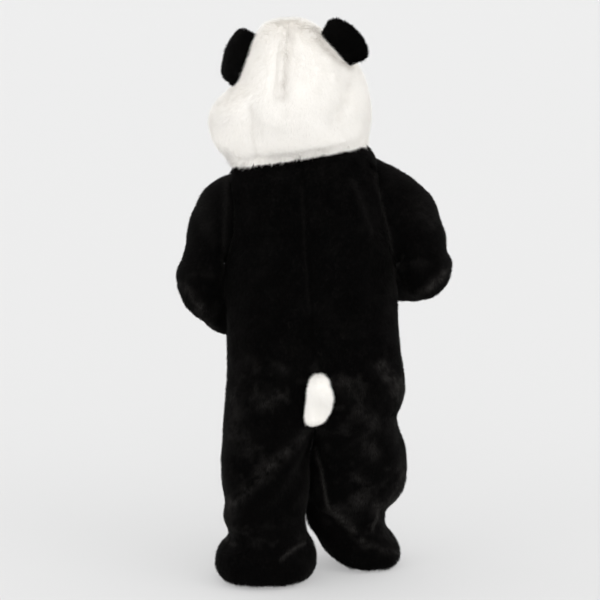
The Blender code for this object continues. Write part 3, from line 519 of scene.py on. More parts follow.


# %% [markdown]
# Black pile catches the light where it bends: along ridges, at seams, on the hips and under the elbows. Those
# highlights are painted into the fibre's colour here and listed like the folds, as lines with a strength and a
# half width in points of the picture. Weaker painted highlights are scattered in patches on all sides, most on
# the legs and hips.

# %% Painted highlights in the black pile
PAINTED_HIGHLIGHTS = {
    # name: (strength, half width, points across and down)
    "left_armhole": (0.16, 2.5, [(229, 172), (225, 215), (224, 260), (224, 330)]),
    "right_armhole": (0.30, 2.0, [(372, 172), (381, 200), (389, 235), (394, 266), (396, 292)]),
    "right_back_line": (0.16, 3.0, [(352, 178), (362, 202), (371, 230)]),
    "middle_back": (0.09, 1.6, [(302, 186), (305, 250), (309, 312)]),
    "left_thigh_ridge": (0.75, 6.0, [(306, 434), (282, 454), (256, 480), (236, 500)]),
    "left_thigh_lower": (0.35, 6.0, [(236, 500), (228, 512)]),
    "left_hip_high": (0.35, 8.0, [(246, 362), (252, 366)]),
    "left_hip_middle": (0.42, 8.0, [(262, 402), (276, 395)]),
    "left_hip_side": (0.45, 9.0, [(233, 398), (238, 410)]),
    "left_hip_low": (0.38, 9.0, [(236, 432), (246, 440)]),
    "left_hip_inner": (0.25, 6.0, [(278, 364), (284, 368)]),
    "right_hip_high": (0.85, 7.0, [(381, 364), (388, 374)]),
    "right_hip_side": (0.75, 8.0, [(396, 380), (400, 396)]),
    "right_hip_inner": (0.35, 8.0, [(342, 382), (350, 388)]),
    "right_hip_middle": (0.40, 9.0, [(362, 410), (374, 422)]),
    "right_thigh": (0.35, 9.0, [(364, 440), (372, 452)]),
    "right_knee": (0.60, 6.0, [(357, 478), (366, 486), (360, 500)]),
    "right_knee_side": (0.75, 6.0, [(402, 474), (397, 490), (388, 503), (376, 506)]),
    "right_inner_edge": (0.80, 1.8, [(316, 446), (321, 468), (325, 486), (329, 506)]),
    "right_lower_fold": (0.80, 4.0, [(329, 508), (340, 516), (351, 527), (361, 538)]),
    "right_lower_patch": (0.45, 7.0, [(340, 510), (352, 518)]),
    "right_ankle_lines": (0.75, 1.5, [(379, 510), (376, 519), (373, 528)]),
    "right_foot_side": (0.70, 3.5, [(364, 543), (382, 548), (397, 551)]),
    "right_foot_high": (0.45, 6.0, [(386, 534), (394, 540)]),
    "left_foot_ridge": (0.70, 1.8, [(304, 541), (296, 545), (288, 551), (281, 558)]),
    "left_ankle": (0.50, 1.8, [(226, 533), (229, 540), (235, 543)]),
    "left_foot_spot": (0.30, 4.0, [(250, 540), (256, 543)]),
    "left_elbow": (0.55, 4.5, [(182, 283), (190, 292), (200, 303)]),
    "left_forearm": (0.75, 4.5, [(200, 306), (208, 320), (217, 331)]),
    "left_elbow_crease": (0.16, 3.2, [(190, 275), (200, 272), (212, 274)]),
    "right_elbow": (0.95, 4.0, [(444, 268), (440, 277), (430, 283)]),
    "right_elbow_low": (0.60, 3.5, [(430, 286), (416, 294), (404, 299)]),
    "right_sleeve_crease": (0.16, 4.0, [(430, 262), (414, 262), (400, 266)]),
    "right_sleeve_patch": (0.25, 9.0, [(420, 205), (428, 220)]),
    "left_sleeve_patch": (0.12, 9.0, [(205, 205), (210, 225)]),
}
SHADED = [
    # half width and points across and down: where a fold keeps the light off
    (17.0, [(292, 478), (270, 505), (285, 520)]),
    (9.0, [(306, 450), (310, 490), (318, 530)]),
    (8.0, [(330, 545), (345, 556), (372, 560)]),
    (11.0, [(225, 565), (260, 572), (300, 570)]),
]


def painted_highlights_of(points, normals):
    """How strongly a painted highlight lightens the pile at each point, from 0 to 1."""
    seen = in_picture(points)
    facing = facing_camera(points, normals, -0.25, 0.1)
    speckle = 0.5 + 0.5 * wavering(points, 0.006, 7) + 0.35 * wavering(points, 0.016, 6)
    total = np.zeros(len(points))
    for strength, width, line in PAINTED_HIGHLIGHTS.values():
        distance = line_distance(seen, line)[0]
        total += strength * bell(distance, width) * facing * (speckle if width > 3 else 1.0)
    # weaker painted highlights in patches, strongest on the legs and hips
    highlight_noise = 0.55 * wavering(points, 0.022, 9) + 0.45 * wavering(points, 0.008, 4)
    low = smooth_step(points[:, 2], -0.575, -0.535) * (1 - smooth_step(points[:, 2], -0.29, -0.22))
    total += 0.22 * smooth_step(highlight_noise, 0.05, 0.7) * (0.2 + 0.8 * low)
    for width, line in SHADED:
        total *= 1 - 0.85 * bell(line_distance(seen, line)[0], width) * facing
    return np.clip(total, 0.0, 1.2)


# %% [markdown]
# White pile is too bright to show its folds by light alone. In the trough of the centre seam, along the crown,
# in creases, in a dimple and beside the ears, a painted shade darkens it to a warm grey. Those shades are
# listed in the same way.

# %% Painted shade in the white pile
PAINTED_SHADES = {
    # name: (strength, half width, points across and down)
    "trough": (0.40, 4.0, [(287, 34), (286, 50), (285, 75), (283, 96)]),
    "trough_sides": (0.16, 9.0, [(287, 34), (286, 50), (285, 75), (283, 90)]),
    "crown": (0.22, 3.0, [(290, 28), (302, 26), (316, 28)]),
    "crown_right": (0.30, 3.0, [(300, 31), (310, 29), (318, 36)]),
    "left_crease": (0.22, 2.2, [(252, 104), (253, 128), (256, 148), (261, 160)]),
    "left_dimple": (0.60, 3.0, [(227, 156), (232, 161)]),
    "right_crease": (0.20, 4.0, [(348, 78), (345, 98), (337, 117)]),
    "right_ear_shade": (0.8, 3.0, [(317, 38), (324, 48), (335, 59), (349, 67)]),
    "left_ear_shade": (0.40, 2.5, [(252, 44), (244, 70), (233, 90)]),
}


def painted_shades_of(points, normals):
    """How strongly painted shade darkens the white pile at each point, from 0 to 1."""
    seen = in_picture(points)
    facing = facing_camera(points, normals, -0.1, 0.2)
    uneven = 0.75 + 0.35 * wavering(points, 0.009, 5)
    total = np.zeros(len(points))
    for strength, width, line in PAINTED_SHADES.values():
        distance = line_distance(seen, line)[0]
        total += strength * bell(distance, width) * facing * uneven
    return np.clip(total, 0.0, 1.0)


# %% [markdown]
# The finished sheet is a thin knitted cloth with pile on its outer side. The solid's surface is where the
# pile ends, so the cloth lies a few millimetres below it. It is built as two layers, the knitted side that
# carries the pile and the bare side inside, joined all round at the rim.

# %% Building a cut piece
BACKING = 1.1 * MM
GROOVES = {"white": (6 * MM, 0.5 * MM), "black": (5 * MM, 1.6 * MM)}  # cloth: (half width, depth) at a seam
RIM_SEARCH = 0.05  # metres round a rim corner in which a neighbouring piece is looked for
TOUCH_SEARCH = 0.02  # the same for the rest of the sheet, which stays clear of what it touches
CROTCH_HEIGHT = -0.385
CROTCH_REACH = 0.028
CROTCH_TURNS = 30


def cloth_of(name):
    return "white" if name.startswith("hood") else "black"


def lay_out(name, middle, sink, waver):
    """One cut piece with its folds and seam grooves, and which corners of its rim are free or sewn."""
    points, faces = rounded(outer_side(name, Vector(middle)), 2)
    normals = corner_normals(points, faces)
    tree = neighbours_of(name)
    free = np.zeros(len(points), bool)
    sewn = []
    for chain in rims(faces):
        for corner in chain:
            distance = tree.find_nearest(points[corner], RIM_SEARCH)[3]
            free[corner] = distance is None or distance > SEAM_REACH
            if not free[corner]:
                sewn.append(corner)
    from_seam = nearest(points, points[sewn])[0] if sewn else np.ones(len(points))
    calm = smooth_step(from_seam, 0.0, 20 * MM)
    touching = np.array([tree.find_nearest(point, TOUCH_SEARCH)[3] or TOUCH_SEARCH for point in points])
    touching = smooth_step(from_seam, 6 * MM, 16 * MM) * (1 - smooth_step(touching, 4 * MM, 10 * MM))
    moved = folds_of(name, points, normals) * calm
    moved += waver * (wavering(points, 0.055, 3) + 0.45 * wavering(points, 0.021, 5)) * calm
    if name.startswith("hood_back"):
        points = slid_seam(points, *hood_back)
        normals = corner_normals(points, faces)
    if name.startswith(("back", "front")):
        points = settled(points, faces, calm * bell(points[:, 2] - CROTCH_HEIGHT, CROTCH_REACH), CROTCH_TURNS)
        normals = corner_normals(points, faces)
    groove, depth = GROOVES[cloth_of(name)]
    moved -= depth * bell(from_seam, groove)
    points = points + normals * (moved * (1 - touching) - sink * (1 - 2.0 * touching))[:, None]
    return {"points": points, "faces": faces, "free": free, "sewn": sewn}


def nearest(points, targets):
    """For each point, how far the nearest target is and which one it is."""
    tree = kdtree.KDTree(len(targets))
    for k, target in enumerate(targets):
        tree.insert(target, k)
    tree.balance()
    found = [tree.find(point) for point in points]
    return np.array([hit[2] for hit in found]), np.array([hit[1] for hit in found])


def rim_line(piece, parts=4):
    """Points along the rim of a piece, closer together than its corners."""
    ends = []
    for chain in rims(piece["faces"]):
        ring = piece["points"][chain]
        for part in range(parts):
            ends.append(ring + (np.roll(ring, -1, axis=0) - ring) * part / parts)
    return np.concatenate(ends)


def sew(pieces):
    """Bring the rims of neighbouring pieces together, half-way each, and let the cloth near them follow."""
    lines = {name: rim_line(piece) for name, piece in pieces.items()}
    for name, piece in pieces.items():
        if not piece["sewn"]:
            continue
        others = np.concatenate([line for other, line in lines.items() if other != name])
        rim = piece["points"][piece["sewn"]]
        distance, which = nearest(rim, others)
        shift = (others[which] - rim) / 2
        shift[distance > SEW_REACH] = 0
        away, root = nearest(piece["points"], rim)
        piece["shift"] = shift[root] * (1 - smooth_step(away, 0.0, 16 * MM))[:, None]
        widest = float(distance[distance <= SEW_REACH].max())
        print(name, "sewn; widest gap closed, mm:", round(widest * 1000, 1))
    for piece in pieces.values():
        if piece["sewn"]:
            piece["points"] = piece["points"] + piece["shift"]


def sheet_object(name, points, faces, outside, inside):
    """A piece of cloth with a pile side and a bare side."""
    normals = corner_normals(points, faces)
    count = len(points)
    rim = []
    for chain in rims(faces):
        for k, corner in enumerate(chain):
            following = chain[(k + 1) % len(chain)]
            rim.append((following, corner, corner + count, following + count))
    both = np.concatenate([points, points - normals * BACKING])
    shell = np.concatenate([faces, faces[:, ::-1] + count, np.array(rim)])
    mesh = bpy.data.meshes.new(name)
    mesh.from_pydata(both, [], shell.tolist())
    mesh.materials.append(outside)
    mesh.materials.append(inside)
    index = np.concatenate([np.zeros(len(faces), int), np.ones(len(faces) + len(rim), int)])
    mesh.polygons.foreach_set("material_index", index)
    mesh.shade_smooth()
    return add_object(name, mesh)


# %% [markdown]
# The pile is the look of this cloth. Particle hair would not travel with an exported model, so every tuft is
# one slender three-cornered leaf: two corners at its root and one at its tip. Tufts lie along the nap, lifted
# a little, and lean with their neighbours. Their shading normals are bent towards the cloth's own, which
# makes them take the light as a soft mass and not as splinters.

# %% Growing the pile


def grow_pile(name, points, faces, finish, density, length, width, lift, nap, seed, unruly=1.0, neck=None):
    """Tufts on a sheet. density is in tufts for a square metre, and nap gives the way they lie at a point.
    At the neck seam the white tufts hang longer over the black ones, which are kept short there."""
    # a root for each tuft, spread evenly over the sheet
    random = np.random.default_rng(seed)
    triangles = np.concatenate([faces[:, [0, 1, 2]], faces[:, [0, 2, 3]]])
    a, b, c = (points[triangles[:, k]] for k in range(3))
    areas = np.linalg.norm(np.cross(b - a, c - a), axis=1) / 2
    count = int(density * areas.sum())
    chosen = np.sort(random.choice(len(triangles), count, p=areas / areas.sum()))
    u, v = random.random(count), random.random(count)
    over = u + v > 1
    u[over], v[over] = 1 - u[over], 1 - v[over]
    picked = triangles[chosen]
    root = a[chosen] * (1 - u - v)[:, None] + b[chosen] * u[:, None] + c[chosen] * v[:, None]
    normals = corner_normals(points, faces)
    out = normals[picked[:, 0]] * (1 - u - v)[:, None] + normals[picked[:, 1]] * u[:, None]
    out = unit(out + normals[picked[:, 2]] * v[:, None])

    # the way it lies, in step with its neighbours, and how far it rises
    way = nap(root, out)
    white = finish.name.startswith("white")
    lean = np.stack([wavering(root, 0.011, seed % 17, k) for k in range(3)], axis=1)
    drift = np.stack([wavering(root, 0.045, seed % 13 + 3, k) for k in range(3)], axis=1)
    way = way + unruly * (0.45 * lean + 0.45 * drift) + 0.20 * random.normal(size=(count, 3))
    way = unit(way - out * (way * out).sum(axis=1, keepdims=True))
    patch = unruly * wavering(root, 0.024, seed % 11 + 2)
    rise = lift + 9 * unruly * lean[:, 0] + 10 * patch + 6 * random.normal(size=count)
    long = length * np.clip(1 + 0.16 * random.normal(size=count), 0.5, 1.5)
    if neck is not None:
        by_neck = 1 - smooth_step(nearest(root, neck)[0], 3 * MM, (26 if white else 11) * MM)
        ragged = 0.5 + wavering(root, 0.0045, 8)
        long *= 1 + by_neck * (0.1 + 0.9 * np.clip(ragged, 0, 1.4) if white else -0.55)
        rise += by_neck * (14 if white else -16)

    # its three corners, none of them under the floor
    rise = np.radians(np.clip(rise, 6, 80))[:, None]
    long = long[:, None]
    tip = root + long * (way * np.cos(rise) + out * np.sin(rise))
    side = np.cross(out, way) * (width / 2) * random.uniform(0.75, 1.25, count)[:, None]
    foot = root - out * 0.6 * MM
    if neck is not None and white:
        tip += by_neck[:, None] * np.array((0.0, 0.0, -2.5 * MM))
    corners = np.stack([foot - side, tip, foot + side], axis=1).reshape(-1, 3)
    corners[:, 2] = np.maximum(corners[:, 2], floor_height + 0.4 * MM)

    # shading normals near the cloth's own, a little to the side at each root corner
    tilt = (0.30 + 0.25 * patch)[:, None] * way
    soft = out * np.where(out[:, 2:] < 0, (1.0, 1.0, 0.1 if white else 0.3), (1.0, 1.0, 1.0))
    if neck is not None and white:
        soft[:, 2] += 0.3 * by_neck
    shading = np.stack([soft + 0.3 * tilt, soft + 1.6 * tilt, soft + 0.3 * tilt], axis=1)
    across = np.cross(out, way)
    shading[:, 0] -= 0.35 * across
    shading[:, 2] += 0.35 * across
    shading += (0.05 + 0.08 * unruly) * random.normal(size=(count, 1, 3))
    shading = unit(shading.reshape(-1, 3))

    # the mesh, with one small field of the flat layout for each tuft
    mesh = bpy.data.meshes.new(name)
    mesh.vertices.add(count * 3)
    mesh.vertices.foreach_set("co", corners.ravel())
    mesh.loops.add(count * 3)
    mesh.loops.foreach_set("vertex_index", np.arange(count * 3))
    mesh.polygons.add(count)
    mesh.polygons.foreach_set("loop_start", np.arange(count) * 3)
    mesh.update(calc_edges=True)
    bent = mesh.attributes.new("custom_normal", "FLOAT_VECTOR", "POINT")
    bent.data.foreach_set("vector", shading.astype(np.float32).ravel())
    # painted light for each tuft, kept on its corners: painted shade on the white pile, painted highlight on
    # the black
    painted_light_amount = mesh.attributes.new("painted_light_amount", "FLOAT", "POINT")
    strength = (painted_shades_of if white else painted_highlights_of)(root, out) * random.uniform(0.6, 1.4, count)
    painted_light_amount.data.foreach_set("value", np.repeat(strength, 3).astype(np.float32))
    side_count = math.ceil(math.sqrt(count))
    cell = np.arange(count)
    base = np.stack([cell % side_count, cell // side_count], axis=1)[:, None, :]
    inset = np.array(((0.15, 0.15), (0.5, 0.85), (0.85, 0.15)))[None]
    flat = mesh.uv_layers.new(name="OFBake")
    flat.data.foreach_set("uv", ((base + inset) / side_count).astype(np.float32).ravel())
    mesh.materials.append(finish)
    print(name, count, "tufts on", round(areas.sum(), 4), "m2")
    return add_object(name, mesh)


# %% [markdown]
# Black plush looks black because light that enters the pile is lost between the tufts. Only where the pile
# bends does a little brown-grey light come back. The fibre is dark, nearly without gloss; a faint sheen and a
# painted highlight, mixed into its colour along the listed lines, give that light. Two sizes of mottling keep
# it from being one flat black. The white fibre passes light on from tuft to tuft, which a small glow of its own
# stands for: painted light that lifts its shaded parts. The white ground under it glows a little too, and the
# white pile's listed creases carry painted shade.

# %% Black and white plush


def new_node(tree, kind, **values):
    made = tree.nodes.new("ShaderNode" + kind)
    put(made, **values)
    return made


def new_ramp(tree, low, high, ends=(0.0, 1.0)):
    """A colour ramp between two colours."""
    made = tree.nodes.new("ShaderNodeValToRGB")
    for element, position, colour in zip(made.color_ramp.elements, ends, (low, high)):
        element.position = position
        element.color = (*colour, 1)
    return made


def link(tree, *wires):
    """Wires between nodes, each given as a node and its way out, a node and its way in."""
    for source, out, target, into in wires:
        tree.links.new(source.outputs[out], target.inputs[into])


def plush(name, dark, light, sheen, sheen_tint, gloss, painted_light_colour=None, glow=0.0):
    """Mottled fibre between two colours. The last colour is painted light, mixed in as far as each tuft's
    stored amount
    says: a painted highlight on the black pile, a painted shade on the white. glow makes the fibre glow a
    little: painted light.
    """
    made, tree, shader = new_material(name)
    place = new_node(tree, "TexCoord")
    broad = new_node(tree, "TexNoise", Scale=28, Detail=3)
    fine = new_node(tree, "TexNoise", Scale=620, Detail=1)
    blend = new_node(tree, "Mix", Factor=0.5)
    colours = new_ramp(tree, dark, light, (0.3, 0.7))
    link(
        tree,
        (place, "Object", broad, "Vector"),
        (place, "Object", fine, "Vector"),
        (broad, "Fac", blend, "A"),
        (fine, "Fac", blend, "B"),
        (blend, "Result", colours, "Fac"),
        (colours, "Color", shader, "Base Color"),
    )
    # painted light mixed into the base colour: a painted highlight on the black pile, a painted shade on the
    # white
    if painted_light_colour:
        painted_light_amount = new_node(tree, "Attribute")
        painted_light_amount.attribute_name = "painted_light_amount"
        lit = new_node(tree, "Mix")
        lit.data_type = "RGBA"
        lit.inputs[7].default_value = (*painted_light_colour, 1)
        link(tree, (painted_light_amount, "Fac", lit, "Factor"), (colours, "Color", lit, 6), (lit, 2, shader, "Base Color"))
    put(shader, Roughness=0.85, Specular_IOR_Level=gloss)
    put(shader, Sheen_Weight=sheen, Sheen_Roughness=0.45, Sheen_Tint=(*sheen_tint, 1))
    # the glow is painted light: the fibre lights itself a little
    put(shader, Emission_Color=(1.0, 0.965, 0.91, 1), Emission_Strength=glow)
    return made


NO_TINT = (1, 1, 1)
# painted light colours: a painted highlight for the black pile and a painted shade for the white
PAINTED_HIGHLIGHT_COLOUR = (0.026, 0.0245, 0.023)
SHADE = (0.36, 0.325, 0.285)
BLACK, DARK_GREY = (0.0003, 0.0003, 0.0003), (0.0013, 0.0012, 0.0011)
CREAM, WHITE = (0.755, 0.738, 0.705), (0.79, 0.775, 0.75)
# black_pile carries a painted highlight, white_pile a painted shade and a small glow, white_ground a small
# glow; the glows are painted light
black_pile = plush("black_pile", BLACK, DARK_GREY, 0.016, (0.8, 0.76, 0.72), 0.03, PAINTED_HIGHLIGHT_COLOUR)
white_pile = plush("white_pile", CREAM, WHITE, 0.05, (1.0, 0.97, 0.93), 0.1, SHADE, 0.17)
black_ground = plush("black_ground", (0.0015, 0.0014, 0.0014), (0.004, 0.0036, 0.0034), 0.0, NO_TINT, 0.02)
white_ground = plush("white_ground", (0.72, 0.70, 0.67), (0.75, 0.735, 0.71), 0.0, NO_TINT, 0.1, glow=0.12)
print("plush finishes:", [m.name for m in (black_pile, white_pile, black_ground, white_ground)])

# %% [markdown]
# The inside of plush is a bare warp knit: rows of small loops. A wave pattern in two directions gives the
# loops as a bump, at the real size of a little over one millimetre.

# %% Bare knitted side


def woven(tree, shader, waves, strength, depth):
    """Two crossing waves multiplied, which also stand up as a bump. waves: (direction, scale, distortion)."""
    place = new_node(tree, "TexCoord")
    both = new_node(tree, "Math")
    both.operation = "MULTIPLY"
    for socket, (direction, scale, distortion) in enumerate(waves):
        wave = new_node(tree, "TexWave", Scale=scale, Distortion=distortion)
        wave.bands_direction = direction
        link(tree, (place, "Object", wave, "Vector"), (wave, "Fac", both, socket))
    bump = new_node(tree, "Bump", Strength=strength, Distance=depth)
    link(tree, (both, "Value", bump, "Height"), (bump, "Normal", shader, "Normal"))
    return both


def knit(name, colour, gap_colour):
    made, tree, shader = new_material(name)
    loops = woven(tree, shader, (("X", 260, 1.2), ("Z", 210, 0.8)), 0.5, 0.0006)
    colours = new_node(tree, "Mix")
    colours.data_type = "RGBA"
    colours.inputs[6].default_value = (*gap_colour, 1)
    colours.inputs[7].default_value = (*colour, 1)
    link(tree, (loops, "Value", colours, "Factor"), (colours, 2, shader, "Base Color"))
    put(shader, Roughness=0.9, Specular_IOR_Level=0.15)
    return made


black_knit = knit("black_knit", (0.022, 0.021, 0.021), (0.006, 0.006, 0.006))
white_knit = knit("white_knit", (0.80, 0.77, 0.72), (0.62, 0.59, 0.55))

# %% [markdown]
# Each cut piece is now made in turn. The suit's black pile is short and lies downwards; on the sleeves it
# runs towards the cuff. The hood's white pile is longer and stands up more. flat is the size of the rectangle
# that the piece is cut from, and area is what is left of it inside the pattern's curves, in square metres.

# %% Nap directions
DOWN = np.array((0.0, 0.0, -1.0))
LEVEL = np.array((1.0, 1.0, 0.0))


def body_nap(root, out):
    """Down the cloth, and round under a turned hem."""
    return DOWN + 0.25 * unit(-root * LEVEL)


def hood_nap(root, out):
    """Down from the crown on all sides."""
    return DOWN + 0.35 * unit((root - hood_middle) * LEVEL)


hood_low, hood_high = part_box("hood_front")
back_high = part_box("hood_back_left")[1]
hood_middle = np.array((hood_low.x + hood_high.x, hood_low.y + back_high.y, hood_low.z + hood_high.z)) / 2
print("middle of the hood", hood_middle.round(3))

# %% The cut pieces
CUT_PIECES = {
    # node: (middle, flat width, flat length, area)
    "back_left": ((0, 0, -0.3), 0.24, 0.68, 0.128),
    "back_right": ((0, 0, -0.3), 0.24, 0.70, 0.131),
    "front_left": ((0, 0, -0.3), 0.24, 0.68, 0.124),
    "front_right": ((0, 0, -0.3), 0.24, 0.70, 0.124),
    "sleeve_left": ((0.17, -0.04, -0.13), 0.30, 0.27, 0.059),
    "sleeve_right": ((-0.16, -0.04, -0.11), 0.30, 0.27, 0.063),
    "hood_back_left": (hood_middle, 0.17, 0.25, 0.033),
    "hood_back_right": (hood_middle, 0.17, 0.25, 0.037),
    "hood_front": (hood_middle, 0.42, 0.18, 0.053),
}
LAYING = {"black": (2.2 * MM, 0.9 * MM), "white": (2.2 * MM, 0.4 * MM)}  # cloth: (sink, waver)
PILES = {
    # cloth: (density, length, width, lift, unruly)
    "black": (640000, 6.0 * MM, 1.15 * MM, 27, 1.0),
    "white": (950000, 7.5 * MM, 1.0 * MM, 32, 0.3),
}
FINISHES = {"black": (black_ground, black_knit, black_pile), "white": (white_ground, white_knit, white_pile)}


def sleeve_nap(name):
    """Along the arm, from the armhole towards the cuff."""
    low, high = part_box(name)
    low, high = np.array(low), np.array(high)
    shoulder = np.array((high[0] if name.endswith("right") else low[0], high[1], high[2]))
    cuff = np.array(((low[0] + high[0]) / 2, low[1], low[2]))
    way = cuff - shoulder
    way /= np.linalg.norm(way)
    return lambda root, out: np.tile(way, (len(root), 1))


NECK_REACH = 4 * MM
hood_back = hood_skin()
laid_out = {}
for name, (middle, *_) in CUT_PIECES.items():
    laid_out[name] = lay_out(name, middle, *LAYING[cloth_of(name)])
for _ in range(2):
    sew(laid_out)
hood_rims, body_rims = (
    np.concatenate([rim_line(piece, 3) for name, piece in laid_out.items() if cloth_of(name) == cloth])
    for cloth in ("white", "black")
)
neck = hood_rims[nearest(hood_rims, body_rims)[0] < NECK_REACH]
print("neck seam points:", len(neck))

# %% Turned edges, cloth and pile
for seed, (name, (_, flat_width, flat_length, area)) in enumerate(CUT_PIECES.items(), start=11):
    cloth = cloth_of(name)
    density, length, width, lift, unruly = PILES[cloth]
    ground, bare, finish = FINISHES[cloth]
    points, faces = laid_out[name]["points"], laid_out[name]["faces"]
    points, faces = turn_under(points, faces, corner_normals(points, faces), laid_out[name]["free"])
    nap = hood_nap if cloth == "white" else sleeve_nap(name) if name.startswith("sleeve") else body_nap
    sheet = sheet_object(name + "_cloth", points, faces, ground, bare)
    pile = grow_pile(
        name + "_pile", points, faces, finish, density, length, width, lift, nap, seed, unruly, neck
    )
    for piece in (sheet, pile):
        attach(piece, "suit")
    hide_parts(name)

# %% [markdown]
# Ears and tail are small stuffed bags of the same plush. Each is a closed form, rounded from its packed
# solid. The ears are turned a little round the hood, to where the picture has them. Each foot is pressed down
# into the pile of the cloth it is sewn to, so that it doesn't stand on the fur tips.

# %% Ears and tail
EAR_TURN = -7.0  # degrees that the ears stand further round the hood than in the solids
HOOD_AXIS = (0.014, -0.004, 0.0)
FOOT_REACH = 0.03  # metres from the cloth under it within which a stuffed piece can be pressed down


def stuffed(name, sink, press):
    """A stuffed piece whose foot goes down onto the cloth under it."""
    points, faces = rounded(node_mesh(name), 2)
    if name.startswith("ear"):
        turn = math.radians(EAR_TURN)
        off = points - np.array(HOOD_AXIS)
        points[:, 0] = HOOD_AXIS[0] + off[:, 0] * math.cos(turn) - off[:, 1] * math.sin(turn)
        points[:, 1] = HOOD_AXIS[1] + off[:, 0] * math.sin(turn) + off[:, 1] * math.cos(turn)
    normals = corner_normals(points, faces)
    tree = neighbours_of(name)
    moved = points - normals * sink
    for k, point in enumerate(points):
        spot, _, _, distance = tree.find_nearest(point, FOOT_REACH)
        if spot is not None:
            near = 1.0 - float(smooth_step(distance, 1 * MM, 12 * MM))
            way = (np.array(spot) - point) / max(distance, 1e-6)
            moved[k] += near * (way * (press + distance) + normals[k] * sink)
    return moved, faces


STUFFED = {
    # node: (cloth, sink mm, press mm, density, length mm, width mm, lift, fill)
    "ear_left": ("black", 2.8, 4.0, 1300000, 6.0, 1.1, 34, 0.6),
    "ear_right": ("black", 2.8, 4.0, 1300000, 6.0, 1.1, 34, 0.6),
    "tail": ("white", 2.6, 4.0, 1500000, 8.0, 0.9, 34, 0.7),
}
for seed, (name, settings) in enumerate(STUFFED.items(), start=41):
    cloth, sink, press, density, length, width, lift, fill = settings
    ground, _, finish = FINISHES[cloth]
    points, faces = stuffed(name, sink * MM, press * MM)
    low, high = (np.array(corner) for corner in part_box(name))
    if name == "tail":
        nap = body_nap
    else:
        foot = np.array(((low[0] + high[0]) / 2 * 0.7, (low[1] + high[1]) / 2, low[2] - 0.01))

        def nap(root, out, foot=foot):
            return unit(root - foot)

    mesh = bpy.data.meshes.new(name + "_cloth")
    mesh.from_pydata(points, [], faces.tolist())
    mesh.materials.append(ground)
    mesh.shade_smooth()
    pad = add_object(name + "_cloth", mesh)
    pile = grow_pile(name + "_pile", points, faces, finish, density, length * MM, width * MM, lift, nap, seed)
    for piece in (pad, pile):
        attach(piece, "suit")
    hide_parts(name)

# %% [markdown]
# The zip is hidden from this side. It is a woven tape with a coil of stiff thread sewn along its middle, and
# a nickel slider with its pull tab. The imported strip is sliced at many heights: each slice gives the middle
# of the zip, where the face of its tape lies, and how much the tape bows from edge to edge.

# %% The zip's line
TAPE_HALF = 11.0 * MM
CHAIN_HEIGHT = 2.5 * MM
ZIP_STEP = 2.0 * MM
ZIP_SLICES = 60


def zip_slices():
    """Rows of height, x of the middle, y of the tape's face at its middle, and y of the face at its edges."""
    whole = node_mesh("zip_tape_and_coil")
    heights = [vert.co.z for vert in whole.verts]
    low, high = min(heights) + 1.5 * MM, max(heights) - 2.0 * MM
    rows = []
    for height in np.linspace(low, high, ZIP_SLICES):
        cut = whole.copy()
        geom = cut.verts[:] + cut.edges[:] + cut.faces[:]
        found = bmesh.ops.bisect_plane(cut, geom=geom, plane_co=(0, 0, height), plane_no=(0, 0, 1))
        spots = np.array([spot.co for spot in found["geom_cut"] if isinstance(spot, bmesh.types.BMVert)])
        cut.free()
        if len(spots) and np.ptp(spots[:, 0]) > 1.9 * TAPE_HALF:
            middle = (spots[:, 0].min() + spots[:, 0].max()) / 2
            edge = spots[np.abs(spots[:, 0] - middle) > 0.9 * TAPE_HALF]
            rows.append((height, middle, spots[:, 1].min() + CHAIN_HEIGHT, edge[:, 1].min()))
    whole.free()
    return np.array(rows)


slices = zip_slices()
steps_up = np.arange(slices[0, 0], slices[-1, 0], ZIP_STEP)
zip_rows = np.stack([steps_up] + [np.interp(steps_up, slices[:, 0], slices[:, k]) for k in (1, 2, 3)], axis=1)
for _ in range(6):
    zip_rows[1:-1, 1:] = (zip_rows[:-2, 1:] + 2 * zip_rows[1:-1, 1:] + zip_rows[2:, 1:]) / 4


def zip_point(height, across, out):
    """A point on the zip: up along it, across it, and out of the face of the tape."""
    values = [np.interp(height, zip_rows[:, 0], zip_rows[:, k]) for k in (1, 2, 3)]
    nearby = [np.interp(height + step, zip_rows[:, 0], zip_rows[:, 2]) for step in (-4 * MM, 4 * MM)]
    lean = (nearby[1] - nearby[0]) / (8 * MM)
    size = np.sqrt(1 + lean * lean)
    bow = (values[2] - values[1]) * (across / TAPE_HALF) ** 2
    return np.stack([values[0] + across, values[1] + bow - out / size, height + out * lean / size], axis=-1)


# %% [markdown]
# The coil is two rows of loops that reach past each other, one loop each millimetre and a quarter. A row of
# lockstitches holds each side to the tape. The tape is a herringbone with a thicker edge.

# %% Tape, coil and stitches


def tube_mesh(name, paths, radius, sides, finish):
    """Round tubes along many paths of the same number of points."""
    paths = np.asarray(paths)
    ahead = unit(np.gradient(paths, axis=1))
    first = unit(np.cross(ahead, np.array((0.13, 0.31, 0.94))))
    second = np.cross(ahead, first)
    turns = 2 * math.pi * np.arange(sides) / sides
    ring = first[:, :, None] * np.cos(turns)[:, None] + second[:, :, None] * np.sin(turns)[:, None]
    points = paths[:, :, None] + radius * ring
    tubes, length = paths.shape[:2]
    index = np.arange(tubes * length * sides).reshape(tubes, length, sides)
    after = np.roll(index, -1, axis=2)
    walls = np.stack([index[:, :-1], after[:, :-1], after[:, 1:], index[:, 1:]], axis=-1)
    caps = index[:, 0, ::-1].tolist() + index[:, -1].tolist()
    mesh = bpy.data.meshes.new(name)
    mesh.from_pydata(points.reshape(-1, 3), [], walls.reshape(-1, 4).tolist() + caps)
    mesh.materials.append(finish)
    mesh.shade_smooth()
    return add_object(name, mesh)


